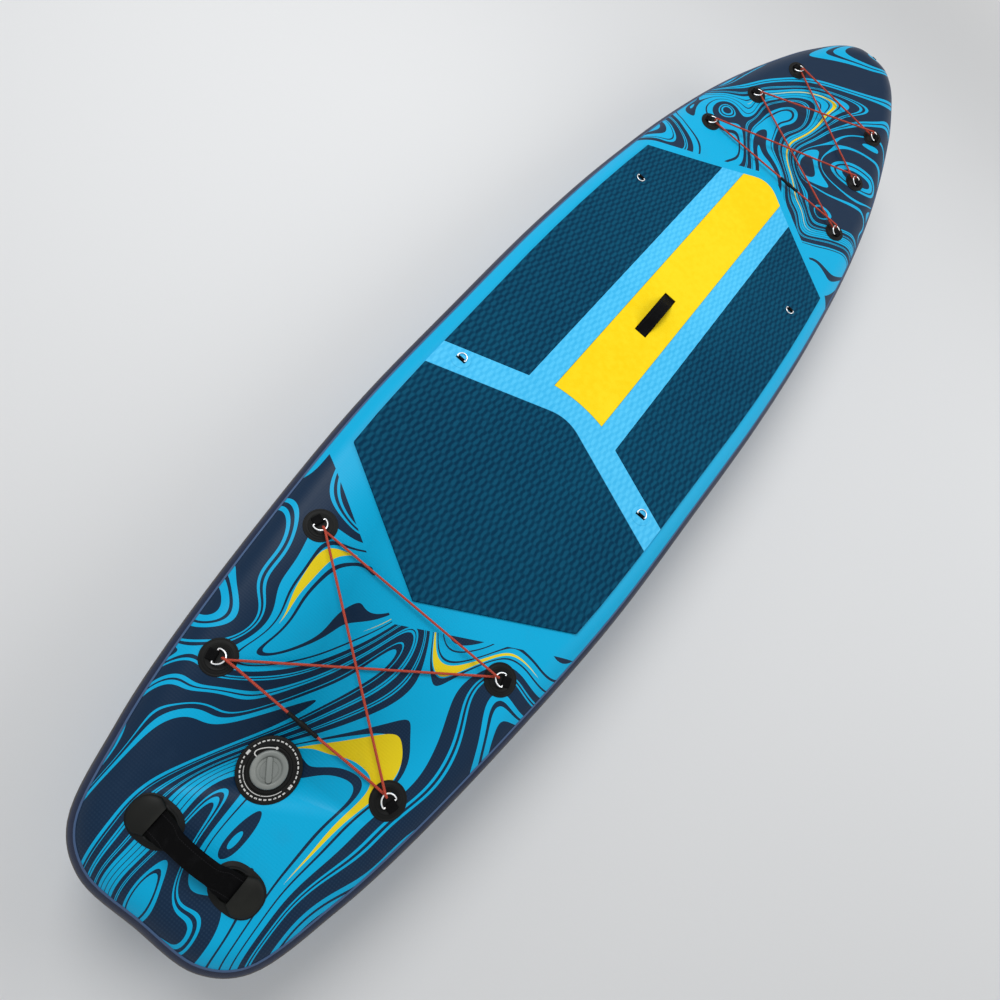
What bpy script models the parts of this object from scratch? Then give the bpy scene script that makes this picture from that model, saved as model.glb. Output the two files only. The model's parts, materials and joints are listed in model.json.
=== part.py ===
"""Inflatable stand-up paddle board: hull, deck pad, handles, valve, rings, bungees and fins.

Metres, +Z up, nose towards +Y. The pieces are modelled from the flat underside at mid length. At the end the
board is stood on its fins, so the origin is on the ground below the middle of its whole length.
"""

import math

import bmesh
import bpy
from mathutils import Matrix, Vector

# Hull
BOARD_LENGTH = 3.200
BOARD_WIDTH = 0.844
BOARD_THICKNESS = 0.150
SKIN_THICKNESS = 0.0012
NOSE_RISE = 0.152
ROCKER_LENGTH = 1.050
ROCKER_POWER = 2.1
SEAM_ANGLE = 55.0
SEAM_GAP = 0.0007
SEAT_GAP = 0.0003
STRIP_LENGTH = 0.090

# Plan shape from tail to nose: share of the length, share of the half width
OUTLINE = (
    (0.0000, 0.000),
    (0.0016, 0.303),
    (0.0163, 0.479),
    (0.0628, 0.616),
    (0.1088, 0.704),
    (0.1984, 0.820),
    (0.3031, 0.919),
    (0.4225, 0.967),
    (0.5422, 1.000),
    (0.6619, 0.988),
    (0.7666, 0.924),
    (0.8563, 0.787),
    (0.9309, 0.573),
    (0.9594, 0.450),
    (0.9844, 0.303),
    (0.9975, 0.152),
    (1.0000, 0.000),
)

# Drop-stitch core
CORE_SHEET = 0.0006
CORE_INSET = 0.006
THREAD_WIDTH = 0.004
THREAD_PITCH_ALONG = 0.300
THREAD_PITCH_ACROSS = 0.160

# Deck pad
PAD_THICKNESS = 0.005
PAD_SIDE_MARGIN = 0.063
PAD_JOINT = 0.0006
PAD_EDGE_BEVEL = 0.0012
PAD_APEX_FROM_TAIL = 0.700
PAD_CORNER_FROM_TAIL = 0.877
BAR_REAR_FROM_TAIL = 1.141
BAR_FRONT_FROM_TAIL = 1.217
BAR_SWEEP = 0.42
PAD_FRONT_FROM_NOSE = 0.985
PAD_FRONT_SWEEP = 0.694
STRIPE_HALF = 0.0765
FRAME_HALF = 0.1385
APEX_ROUNDING = 0.045

# Carry handle
CARRY_FROM_TAIL = 1.720
CARRY_SLOT_LENGTH = 0.172
CARRY_SLOT_WIDTH = 0.037
CARRY_STRAP_WIDTH = 0.034
CARRY_STRAP_THICKNESS = 0.0022
CARRY_GRIP_THICKNESS = 0.006
CARRY_HEIGHT = 0.026
CARRY_TONGUE = 0.050

# Tail handle
TAIL_HANDLE_FROM_TAIL = 0.141
TAIL_HANDLE_HALF = 0.089
TAIL_PATCH_LENGTH = 0.100
TAIL_PATCH_WIDTH = 0.072
TAIL_PATCH_THICKNESS = 0.0014
TAIL_PATCH_POWER = 2.4
TAIL_TONGUE = 0.031
TAIL_STRAP_WIDTH = 0.043
TAIL_STRAP_THICKNESS = 0.0035
TAIL_GRIP_WIDTH = 0.035
TAIL_GRIP_THICKNESS = 0.009
TAIL_HANDLE_HEIGHT = 0.036
BOOT_WALL = 0.0040
BOOT_INSET = 0.0025
BOOT_DRAFT = 0.88

# Valve
VALVE_FROM_TAIL = 0.306
VALVE_PATCH_RADIUS = 0.057
VALVE_PATCH_THICKNESS = 0.0014
VALVE_FLANGE_RADIUS = 0.040
VALVE_FLANGE_HEIGHT = 0.0038
VALVE_HOLE_RADIUS = 0.0265
VALVE_TUBE_RADIUS = 0.0220
VALVE_TUBE_WALL = 0.0030
VALVE_DEPTH = 0.042
VALVE_SEAT_RADIUS = 0.014
VALVE_TRAVEL = 0.006
STEM_RADIUS = 0.003
BUTTON_RADIUS = 0.008
BUTTON_DEPTH = 0.006
GUIDE_DEPTH = 0.022
GUIDE_HEIGHT = 0.003
SPRING_WIRE = 0.0009
SPRING_TURNS = 4
CAP_RADIUS = 0.0325
CAP_HEIGHT = 0.0075
CAP_SKIRT_DEPTH = 0.010
CAP_BAR_WIDTH = 0.010
CAP_BAR_HEIGHT = 0.005
CAP_BAR_ANGLE = 40.0
TETHER_RADIUS = 0.0010

# D-rings under the bungees, in the pad and at the nose tip
RING_WIRE = 0.0034
RING_WIDTH = 0.028
RING_REACH = 0.021
RING_TILT = 20.0
RING_SETBACK = 0.006
RING_BAR_HEIGHT = 0.0065
RING_PATCH_THICKNESS = 0.0013
RING_COVER_SHARE = 0.70
WEB_WIDTH = 0.020
WEB_WALL = 0.0016
RING_PLAY = 0.0004
TAIL_RING_PATCH_RADIUS = 0.035
NOSE_RING_PATCH_RADIUS = 0.032
PAD_RING_PATCH_RADIUS = 0.026
PAD_RING_WIDTH = 0.024
PAD_RING_REACH = 0.016
PAD_RING_WIRE = 0.0030
PAD_RING_PATCH_THICKNESS = 0.0010
PAD_WEB_WIDTH = 0.017
PAD_SLOT_WIDTH = 0.026
PAD_SLOT_MARGIN = 0.0012
TOW_PATCH_HALF = 0.024
TOW_ANGLE = 66.0

# Distance from the tail or the nose, and inset from the rail
TAIL_RINGS = (("tail_front", 0.695, 0.115), ("tail_rear", 0.391, 0.103))
NOSE_RINGS = (("nose_rear", 0.715, 0.121), ("nose_mid", 0.491, 0.123), ("nose_front", 0.297, 0.105))
PAD_RING_REAR = ("pad_rear", 1.209, 0.121)
PAD_RING_FRONT = ("pad_front", 1.112, 0.126)

# Bungees
CORD_DIAMETER = 0.005
JOINER_LENGTH = 0.070
JOINER_RADIUS = 0.0046
JOINER_SOCKET = 0.028
NOSE_JOINER_OFFSET = 0.055
TAIL_JOINER_OFFSET = -0.006

# Fins
FIN_BOX_FROM_TAIL = 0.300
FIN_BOX_LENGTH = 0.250
FIN_BOX_WIDTH = 0.026
FIN_BOX_HEIGHT = 0.020
FIN_PLATE_LENGTH = 0.290
FIN_PLATE_WIDTH = 0.080
FIN_PLATE_THICKNESS = 0.003
FIN_SLOT_LENGTH = 0.224
FIN_SLOT_WIDTH = 0.0100
FIN_GROOVE_WIDTH = 0.0160
FIN_GROOVE_HEIGHT = 0.0060
FIN_GROOVE_TOP = 0.0050
FIN_RUNNING_GAP = 0.0004
FIN_DEPTH = 0.125
FIN_BASE_LENGTH = 0.130
FIN_TAB_LENGTH = 0.024
FIN_THICKNESS = 0.0080
FIN_SCREW_RADIUS = 0.0020
FIN_SCREW_HEAD = 0.0045
SIDE_FIN_FROM_TAIL = 0.430
SIDE_FIN_INSET = 0.150
SIDE_FIN_LENGTH = 0.105
SIDE_FIN_THICKNESS = 0.0070
SIDE_FIN_BASE_LENGTH = 0.125
SIDE_FIN_BASE_WIDTH = 0.046
SIDE_FIN_BASE_THICKNESS = 0.0025

# Standing: the tow ring reaches 2.92 mm further past the nose than the rail band past the tail
NOSE_OVERREACH = 0.00292

RAIL_RADIUS = BOARD_THICKNESS / 2
HALF_LENGTH = BOARD_LENGTH / 2
OUTLINE_STEPS = 3
CIRCLE_SIDES = 24
DECK = BOARD_THICKNESS


def from_tail(distance):
    return distance - HALF_LENGTH


def from_nose(distance):
    return HALF_LENGTH - distance


def spline_point(p0, p1, p2, p3, share):
    """A point between p1 and p2 of a centripetal Catmull-Rom curve."""
    t0 = 0.0
    t1 = t0 + math.sqrt((p1 - p0).length)
    t2 = t1 + math.sqrt((p2 - p1).length)
    t3 = t2 + math.sqrt((p3 - p2).length)
    t = t1 + (t2 - t1) * share
    a1 = p0 * ((t1 - t) / (t1 - t0)) + p1 * ((t - t0) / (t1 - t0))
    a2 = p1 * ((t2 - t) / (t2 - t1)) + p2 * ((t - t1) / (t2 - t1))
    a3 = p2 * ((t3 - t) / (t3 - t2)) + p3 * ((t - t2) / (t3 - t2))
    b1 = a1 * ((t2 - t) / (t2 - t0)) + a2 * ((t - t0) / (t2 - t0))
    b2 = a2 * ((t3 - t) / (t3 - t1)) + a3 * ((t - t1) / (t3 - t1))
    return b1 * ((t2 - t) / (t2 - t1)) + b2 * ((t - t1) / (t2 - t1))


def smooth_path(points, steps):
    """A smooth curve through the points, with this many steps from each to the next."""
    ends = [points[0] * 2 - points[1]] + list(points) + [points[-1] * 2 - points[-2]]
    curve = []
    for i in range(1, len(ends) - 2):
        curve += [spline_point(*ends[i - 1 : i + 3], step / steps) for step in range(steps)]
    return curve + [points[-1]]


def half_outline():
    """The right half of the plan shape, from the middle of the tail to the tip of the nose."""
    right = [Vector((half * BOARD_WIDTH / 2, (share - 0.5) * BOARD_LENGTH)) for share, half in OUTLINE]
    mirrored = [Vector((-right[1].x, right[1].y))] + right + [Vector((-right[-2].x, right[-2].y))]
    curve = []
    for i in range(1, len(mirrored) - 2):
        around = mirrored[i - 1 : i + 3]
        curve += [spline_point(*around, step / OUTLINE_STEPS) for step in range(OUTLINE_STEPS)]
    return curve + [right[-1]]


HALF_PLAN = half_outline()


def full_outline(inset=0.0):
    """The closed plan shape, counter-clockwise, moved inwards by the inset."""
    loop = HALF_PLAN + [Vector((-p.x, p.y)) for p in reversed(HALF_PLAN[1:-1])]
    moved = []
    for i, point in enumerate(loop):
        tangent = (loop[(i + 1) % len(loop)] - loop[i - 1]).normalized()
        moved.append(point + Vector((-tangent.y, tangent.x)) * inset)
    return moved


def half_width(y):
    """Half the board's width at y."""
    for low, high in zip(HALF_PLAN, HALF_PLAN[1:]):
        if low.y <= y <= high.y and high.y > low.y:
            return low.x + (high.x - low.x) * (y - low.y) / (high.y - low.y)
    return 0.0


def rocker(y):
    """How far the nose rocker lifts the board at y."""
    share = (y - (HALF_LENGTH - ROCKER_LENGTH)) / ROCKER_LENGTH
    return NOSE_RISE * share**ROCKER_POWER if share > 0 else 0.0


def strip_edges():
    """Where the rocker's flat strips meet: each row of nose rings lies within one strip."""
    marks = [HALF_LENGTH - ROCKER_LENGTH]
    for _, setback, _ in reversed(sorted(NOSE_RINGS, key=lambda ring: ring[1])):
        marks += [from_nose(setback) - STRIP_LENGTH / 2, from_nose(setback) + STRIP_LENGTH / 2]
    marks.append(HALF_LENGTH)
    edges = []
    for low, high in zip(marks, marks[1:]):
        parts = max(1, math.ceil((high - low) / STRIP_LENGTH - 1e-6))
        edges += [low + (high - low) * i / parts for i in range(parts)]
    return edges + [HALF_LENGTH + STRIP_LENGTH]


STRIPS = strip_edges()


def lift(y):
    """The rocker as flat strips, which deck, bottom and pad all follow."""
    for low, high in zip(STRIPS, STRIPS[1:]):
        if low <= y < high:
            return rocker(low) + (rocker(high) - rocker(low)) * (y - low) / (high - low)
    return 0.0


def lift_slope(y):
    for low, high in zip(STRIPS, STRIPS[1:]):
        if low <= y < high:
            return (rocker(high) - rocker(low)) / (high - low)
    return 0.0


def deck_frame(x, y, heading=0.0, height=0.0):
    """A frame on the deck at (x, y): its +Z is the deck's normal and its +Y is turned to the heading."""
    tilt = Matrix.Rotation(math.atan(lift_slope(y)), 4, "X")
    place = Matrix.Translation((x, y, DECK + lift(y)))
    return place @ tilt @ Matrix.Rotation(heading, 4, "Z") @ Matrix.Translation((0, 0, height))


def clear_scene():
    for obj in list(bpy.data.objects):
        bpy.data.objects.remove(obj)


def new_collection(name):
    collection = bpy.data.collections.new(name)
    bpy.context.scene.collection.children.link(collection)
    return collection


def make_material(name, colour, roughness, metallic=0.0):
    material = bpy.data.materials.new(name)
    material.use_nodes = True
    shader = material.node_tree.nodes["Principled BSDF"]
    shader.inputs["Base Color"].default_value = (*colour, 1.0)
    shader.inputs["Roughness"].default_value = roughness
    shader.inputs["Metallic"].default_value = metallic
    return material


clear_scene()
PARTS = new_collection("inflatable_paddle_board")
CUTTERS = new_collection("cutters")

CYAN = ("printed_cyan", (0.01, 0.40, 0.72), 0.35)
NAVY = ("navy_band", (0.02, 0.04, 0.09), 0.40)
YELLOW = ("yellow_foam", (1.00, 0.72, 0.01), 0.75)
TEAL = ("dark_teal_foam", (0.003, 0.055, 0.115), 0.75)
SKY = ("light_blue_foam", (0.07, 0.54, 0.90), 0.75)
BLACK = ("black_webbing", (0.006, 0.006, 0.007), 0.85)
RUBBER = ("black_rubber", (0.02, 0.02, 0.02), 0.60)
CAP_GREY = ("grey_plastic", (0.26, 0.28, 0.27), 0.45)
STEEL = ("stainless_steel", (0.75, 0.75, 0.76), 0.18, 1.0)
CORD_RED = ("orange_red_cord", (0.55, 0.07, 0.03), 0.70)
FABRIC = ("core_fabric", (0.70, 0.70, 0.66), 0.90)
FIN_BLACK = ("fin_plastic", (0.015, 0.015, 0.017), 0.40)
BRASS = ("brass", (0.72, 0.50, 0.18), 0.30, 1.0)
TETHER_WHITE = ("tether_white", (0.75, 0.75, 0.72), 0.50)


def add_object(name, mesh, finish=None, place=None, smooth_angle=None):
    """Links a part, or a cutter where no finish is given."""
    obj = bpy.data.objects.new(name, mesh)
    if place is not None:
        obj.matrix_world = place
    if finish is None:
        CUTTERS.objects.link(obj)
        obj.hide_render = True
        obj.display_type = "WIRE"
        return obj
    PARTS.objects.link(obj)
    if not mesh.materials:
        material = bpy.data.materials.get(finish[0]) or make_material(*finish)
        mesh.materials.append(material.copy() if mesh.users > 1 else material)
    if smooth_angle is not None:
        mesh.shade_smooth()
        mesh.set_sharp_from_angle(angle=math.radians(smooth_angle))
    return obj


def finish_mesh(bm, name):
    bmesh.ops.recalc_face_normals(bm, faces=bm.faces)
    mesh = bpy.data.meshes.new(name)
    bm.to_mesh(mesh)
    bm.free()
    return mesh


def cut(obj, cutter, operation="DIFFERENCE"):
    boolean = obj.modifiers.new(operation.lower(), "BOOLEAN")
    boolean.operation = operation
    boolean.object = cutter
    boolean.solver = "EXACT"
    return obj


def solidify(obj, thickness, offset=-1.0):
    shell = obj.modifiers.new("wall", "SOLIDIFY")
    shell.thickness = thickness
    shell.offset = offset
    shell.use_even_offset = True
    return obj


def bevel(obj, width, segments=1, angle=50.0):
    rounding = obj.modifiers.new("edge", "BEVEL")
    rounding.width = width
    rounding.segments = segments
    rounding.limit_method = "ANGLE"
    rounding.angle_limit = math.radians(angle)
    return obj


def slice_and_lift(bm):
    """Cuts the mesh where the rocker's strips meet and bends it to them."""
    for edge in STRIPS:
        everything = bm.verts[:] + bm.edges[:] + bm.faces[:]
        bmesh.ops.bisect_plane(bm, geom=everything, plane_co=(0, edge, 0), plane_no=(0, 1, 0), dist=1e-6)
    for vert in bm.verts:
        vert.co.z += lift(vert.co.y)


def ring_faces(bm, lower, upper):
    """Faces between two closed rings of as many vertices."""
    for i in range(len(lower)):
        j = (i + 1) % len(lower)
        bm.faces.new((lower[i], lower[j], upper[j], upper[i]))


def rail_ring(bm, angle, side, outward=0.0):
    """The loop of vertices round the rail at this angle from the flat, above (side 1) or below (side -1)."""
    turn = math.radians(angle)
    radius = RAIL_RADIUS + outward
    inset = RAIL_RADIUS - radius * math.sin(turn)
    z = BOARD_THICKNESS / 2 + side * radius * math.cos(turn)
    return [bm.verts.new((p.x, p.y, z)) for p in full_outline(inset)]


def skin_mesh(name, side):
    """The deck or bottom sheet: flat in the middle, rolled over the rail to the seam."""
    bm = bmesh.new()
    steps = 3
    rings = [rail_ring(bm, SEAM_ANGLE * i / steps, side) for i in range(steps + 1)]
    bm.faces.new(rings[0])
    for inner, outer in zip(rings, rings[1:]):
        ring_faces(bm, inner, outer)
    slice_and_lift(bm)
    bmesh.ops.recalc_face_normals(bm, faces=bm.faces)
    middle = min(bm.faces, key=lambda face: face.calc_center_median().length)
    if middle.normal.z * side < 0:
        bmesh.ops.reverse_faces(bm, faces=bm.faces)
    mesh = bpy.data.meshes.new(name)
    bm.to_mesh(mesh)
    bm.free()
    return mesh


def add_hull():
    hole = bmesh.new()
    disc(hole, VALVE_HOLE_RADIUS, -0.01, 0.01)
    valve_hole = add_object("valve_hole", finish_mesh(hole, "valve_hole"))
    valve_hole.location = (0, from_tail(VALVE_FROM_TAIL), DECK)
    deck = add_object("deck_skin", skin_mesh("deck_skin", 1), CYAN, smooth_angle=30)
    cut(solidify(deck, SKIN_THICKNESS), valve_hole)
    bottom = add_object("bottom_skin", skin_mesh("bottom_skin", -1), CYAN, smooth_angle=30)
    solidify(bottom, SKIN_THICKNESS)
    bm = bmesh.new()
    seam = SEAM_ANGLE + math.degrees(SEAM_GAP / RAIL_RADIUS)
    steps = 4
    rings = []
    for i in range(steps + 1):
        angle = seam + (180 - 2 * seam) * i / steps
        rings.append(rail_ring(bm, angle, 1))
    for upper, lower in zip(rings, rings[1:]):
        ring_faces(bm, lower, upper)
    slice_and_lift(bm)
    mesh = bpy.data.meshes.new("rail_band")
    bm.to_mesh(mesh)
    bm.free()
    solidify(add_object("rail_band", mesh, NAVY, smooth_angle=30), SKIN_THICKNESS)


def slab(bm, outline, bottom, top):
    """A flat sheet from its plan outline."""
    lower = [bm.verts.new((p.x, p.y, bottom)) for p in outline]
    face = bm.faces.new(lower)
    raised = bmesh.ops.extrude_face_region(bm, geom=[face])
    for element in raised["geom"]:
        if isinstance(element, bmesh.types.BMVert):
            element.co.z = top


def box(bm, centre, size):
    placed = Matrix.Translation(centre) @ Matrix.Diagonal((*size, 1))
    bmesh.ops.create_cube(bm, size=1, matrix=placed)


def add_core():
    """Two fabric sheets tied by rows of threads, as one body inside the skins."""
    plan = full_outline(RAIL_RADIUS + CORE_INSET)[::2]
    low = SKIN_THICKNESS + SEAT_GAP
    high = BOARD_THICKNESS - low
    sheets = []
    for bottom in (low, high - CORE_SHEET):
        bm = bmesh.new()
        slab(bm, plan, bottom, bottom + CORE_SHEET)
        slice_and_lift(bm)
        sheets.append(finish_mesh(bm, "core_sheet"))
    threads = bmesh.new()
    rows = int(BOARD_LENGTH / THREAD_PITCH_ALONG)
    for row in range(-(rows // 2), rows // 2 + 1):
        y = row * THREAD_PITCH_ALONG + THREAD_WIDTH
        across = int((half_width(y) - RAIL_RADIUS - 4 * CORE_INSET) / THREAD_PITCH_ACROSS)
        under_valve = abs(y - from_tail(VALVE_FROM_TAIL)) < VALVE_PATCH_RADIUS
        for column in range(-across, across + 1):
            if half_width(y) < 2 * RAIL_RADIUS or (under_valve and column == 0):
                continue
            z = lift(y) + BOARD_THICKNESS / 2
            height = high - low - CORE_SHEET
            box(threads, (column * THREAD_PITCH_ACROSS, y, z), (THREAD_WIDTH, THREAD_WIDTH, height))
    posts = add_object("core_threads", finish_mesh(threads, "core_threads"))
    upper = add_object("core_upper_sheet", sheets[1])
    core = add_object("drop_stitch_core", sheets[0], FABRIC)
    cut(core, posts, "UNION")
    cut(core, upper, "UNION")
    well = bmesh.new()
    radius = VALVE_FLANGE_RADIUS + CORE_INSET
    bmesh.ops.create_cone(well, cap_ends=True, segments=16, radius1=radius, radius2=radius, depth=0.03)
    opening = add_object("core_valve_hole", finish_mesh(well, "core_valve_hole"))
    opening.location = (0, from_tail(VALVE_FROM_TAIL), DECK)
    cut(core, opening)


def pad_side(y):
    """Where the pad's side edge runs at y."""
    return half_width(y) - PAD_SIDE_MARGIN


def side_points(low, high, steps=7):
    """Points up the right side edge of the pad between two values of y."""
    rows = [low + (high - low) * i / steps for i in range(steps + 1)]
    return [Vector((pad_side(y), y)) for y in rows]


def edge_crossing(start_y, sweep, toward):
    """Where a swept edge that starts on the pad's side at start_y reaches the half width toward."""
    return start_y + sweep * (pad_side(start_y) - toward)


def rounded_apex(x_from, y_from, sweep, steps=4):
    """The right half of a swept edge's rounded apex, from x_from to the centre line."""
    points = []
    for i in range(1, steps + 1):
        x = x_from * (1 - i / steps)
        drop = sweep * (x_from * x_from - x * x) / (2 * x_from)
        points.append(Vector((x, y_from + drop)))
    return points


def mirrored(points):
    """A loop from the right half of a piece, whose ends lie on the centre line."""
    return points + [Vector((-p.x, p.y)) for p in reversed(points) if p.x > 1e-6]


def add_pad(name, outline, finish):
    bm = bmesh.new()
    slab(bm, outline, DECK + SEAT_GAP, DECK + SEAT_GAP + PAD_THICKNESS)
    slice_and_lift(bm)
    return bevel(add_object(name, finish_mesh(bm, name), finish), PAD_EDGE_BEVEL)


def add_deck_pad():
    joint = PAD_JOINT / 2
    corner = from_tail(PAD_CORNER_FROM_TAIL)
    bar_rear = from_tail(BAR_REAR_FROM_TAIL)
    bar_front = from_tail(BAR_FRONT_FROM_TAIL)
    front = from_nose(PAD_FRONT_FROM_NOSE)
    apex_half = APEX_ROUNDING
    rear_apex = Vector((0, from_tail(PAD_APEX_FROM_TAIL)))
    bar_apex_y = edge_crossing(bar_rear, BAR_SWEEP, apex_half)
    bar_apex = rounded_apex(apex_half, bar_apex_y, BAR_SWEEP)

    rear = [rear_apex] + side_points(corner, bar_rear - joint, 3)
    rear += [Vector((apex_half, bar_apex_y - joint))] + [p - Vector((0, joint)) for p in bar_apex]
    parts = {"pad_rear": add_pad("pad_rear", mirrored(rear), TEAL)}

    inner_y = edge_crossing(bar_front, BAR_SWEEP, FRAME_HALF)
    stripe_y = edge_crossing(bar_front, BAR_SWEEP, STRIPE_HALF)
    frame_front_y = edge_crossing(front, PAD_FRONT_SWEEP, FRAME_HALF)
    stripe_front_y = edge_crossing(front, PAD_FRONT_SWEEP, STRIPE_HALF)
    crown = rounded_apex(STRIPE_HALF, stripe_y, BAR_SWEEP / 2)

    frame = [Vector((p.x, p.y + joint)) for p in reversed([Vector((apex_half, bar_apex_y))] + bar_apex)]
    frame += side_points(bar_rear + joint, bar_front - joint, 2)
    frame += [Vector((FRAME_HALF - joint, inner_y - joint)), Vector((FRAME_HALF - joint, frame_front_y))]
    frame += [Vector((STRIPE_HALF + joint, stripe_front_y)), Vector((STRIPE_HALF + joint, stripe_y - joint))]
    frame += [p - Vector((0, joint)) for p in crown]
    parts["frame"] = add_pad("pad_light_blue_frame", mirrored(frame), SKY)

    stripe = [p + Vector((0, joint)) for p in reversed(crown)]
    stripe.append(Vector((STRIPE_HALF - joint, stripe_y + joint)))
    tip_y = edge_crossing(front, PAD_FRONT_SWEEP, apex_half)
    stripe += [Vector((STRIPE_HALF - joint, stripe_front_y)), Vector((apex_half, tip_y))]
    stripe += rounded_apex(apex_half, tip_y, PAD_FRONT_SWEEP)
    parts["stripe"] = add_pad("pad_center_stripe", mirrored(stripe), YELLOW)

    panel = side_points(bar_front + joint, front, 8)
    panel += [Vector((FRAME_HALF + joint, frame_front_y)), Vector((FRAME_HALF + joint, inner_y + joint))]
    parts["panel_1"] = add_pad("pad_front_right", panel, TEAL)
    parts["panel_-1"] = add_pad("pad_front_left", [Vector((-p.x, p.y)) for p in reversed(panel)], TEAL)
    return parts


def strap_mesh(name, stations, across):
    """A strap lofted through stations of (distance along, height, width, thickness)."""
    bm = bmesh.new()
    rings = []
    for i, (along, height, width, thickness) in enumerate(stations):
        before = stations[max(i - 1, 0)]
        after = stations[min(i + 1, len(stations) - 1)]
        slope = Vector((after[0] - before[0], after[1] - before[1])).normalized()
        normal = Vector((-slope.y, slope.x))
        half = width / 2
        edge = min(thickness * 0.35, half)
        corners = (
            (-half, 0.5), (-half + edge, 1.0), (half - edge, 1.0), (half, 0.5),
            (half, -0.5), (half - edge, -1.0), (-half + edge, -1.0), (-half, -0.5),
        )
        ring = []
        for side, level in corners:
            point = Vector((along, height)) + normal * (level * thickness / 2)
            place = (side, point.x, point.y) if across == "X" else (point.x, side, point.y)
            ring.append(bm.verts.new(place))
        rings.append(ring)
    for lower, upper in zip(rings, rings[1:]):
        ring_faces(bm, lower, upper)
    bm.faces.new(rings[0])
    bm.faces.new(rings[-1])
    return finish_mesh(bm, name)


def arch_stations(half_span, tongue, base, peak, end_size, grip_size, steps=12):
    """Stations of a strap that lies flat on its tongues and arches between them."""
    stations = [(-half_span - tongue, base, *end_size), (-half_span, base, *end_size)]
    for i in range(1, steps):
        share = i / steps
        rise = math.sin(math.pi * share) ** 1.1
        grip = min(1.0, max(0.0, (math.sin(math.pi * share) - 0.45) / 0.35))
        size = [end + (mid - end) * grip for end, mid in zip(end_size, grip_size)]
        stations.append((half_span * (2 * share - 1), base + (peak - base) * rise, *size))
    return stations + [(half_span, base, *end_size), (half_span + tongue, base, *end_size)]


def add_carry_handle(stripe):
    """A strap whose tongues lie under the stripe and whose arch stands in the stripe's slot."""
    y = from_tail(CARRY_FROM_TAIL)
    base = SEAT_GAP + CARRY_STRAP_THICKNESS / 2
    stations = arch_stations(
        CARRY_SLOT_LENGTH / 2 - CARRY_STRAP_THICKNESS,
        CARRY_TONGUE,
        base,
        CARRY_HEIGHT,
        (CARRY_STRAP_WIDTH, CARRY_STRAP_THICKNESS),
        (CARRY_STRAP_WIDTH, CARRY_GRIP_THICKNESS),
    )
    mesh = strap_mesh("carry_handle_strap", stations, "X")
    strap = add_object("carry_handle_strap", mesh, BLACK, smooth_angle=50)
    strap.location = (0, y, DECK)
    bm = bmesh.new()
    box(bm, (0, y, DECK + PAD_THICKNESS), (CARRY_SLOT_WIDTH, CARRY_SLOT_LENGTH, 4 * PAD_THICKNESS))
    slot = add_object("carry_slot", finish_mesh(bm, "carry_slot"))
    cut(stripe, slot)
    bm = bmesh.new()
    pocket = CARRY_STRAP_THICKNESS + 2 * SEAT_GAP
    length = CARRY_SLOT_LENGTH + 2 * CARRY_TONGUE + 4 * SEAT_GAP
    box(bm, (0, y, DECK), (CARRY_STRAP_WIDTH + 4 * SEAT_GAP, length, 2 * pocket))
    cut(stripe, add_object("carry_pocket", finish_mesh(bm, "carry_pocket")))


def disc(bm, radius, bottom, top, centre=(0.0, 0.0), sides=CIRCLE_SIDES):
    placed = Matrix.Translation((*centre, (bottom + top) / 2))
    bmesh.ops.create_cone(
        bm, cap_ends=True, segments=sides, radius1=radius, radius2=radius, depth=top - bottom, matrix=placed
    )


def prism(bm, outline, low, high):
    """An outline in Y and Z, drawn out along X."""
    loop = [bm.verts.new((low, y, z)) for y, z in outline]
    raised = bmesh.ops.extrude_face_region(bm, geom=[bm.faces.new(loop)])
    for element in raised["geom"]:
        if isinstance(element, bmesh.types.BMVert):
            element.co.x = high


def oval(length, width, first=0.0, last=math.tau, steps=32):
    """Points of a full-cornered oval, counter-clockwise from one turn to another."""
    points = []
    for i in range(steps):
        turn = first + (last - first) * i / (steps if last - first == math.tau else steps - 1)
        along = math.copysign(abs(math.cos(turn)) ** (2 / TAIL_PATCH_POWER), math.cos(turn))
        across = math.copysign(abs(math.sin(turn)) ** (2 / TAIL_PATCH_POWER), math.sin(turn))
        points.append(Vector((along * length / 2, across * width / 2)))
    return points


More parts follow.
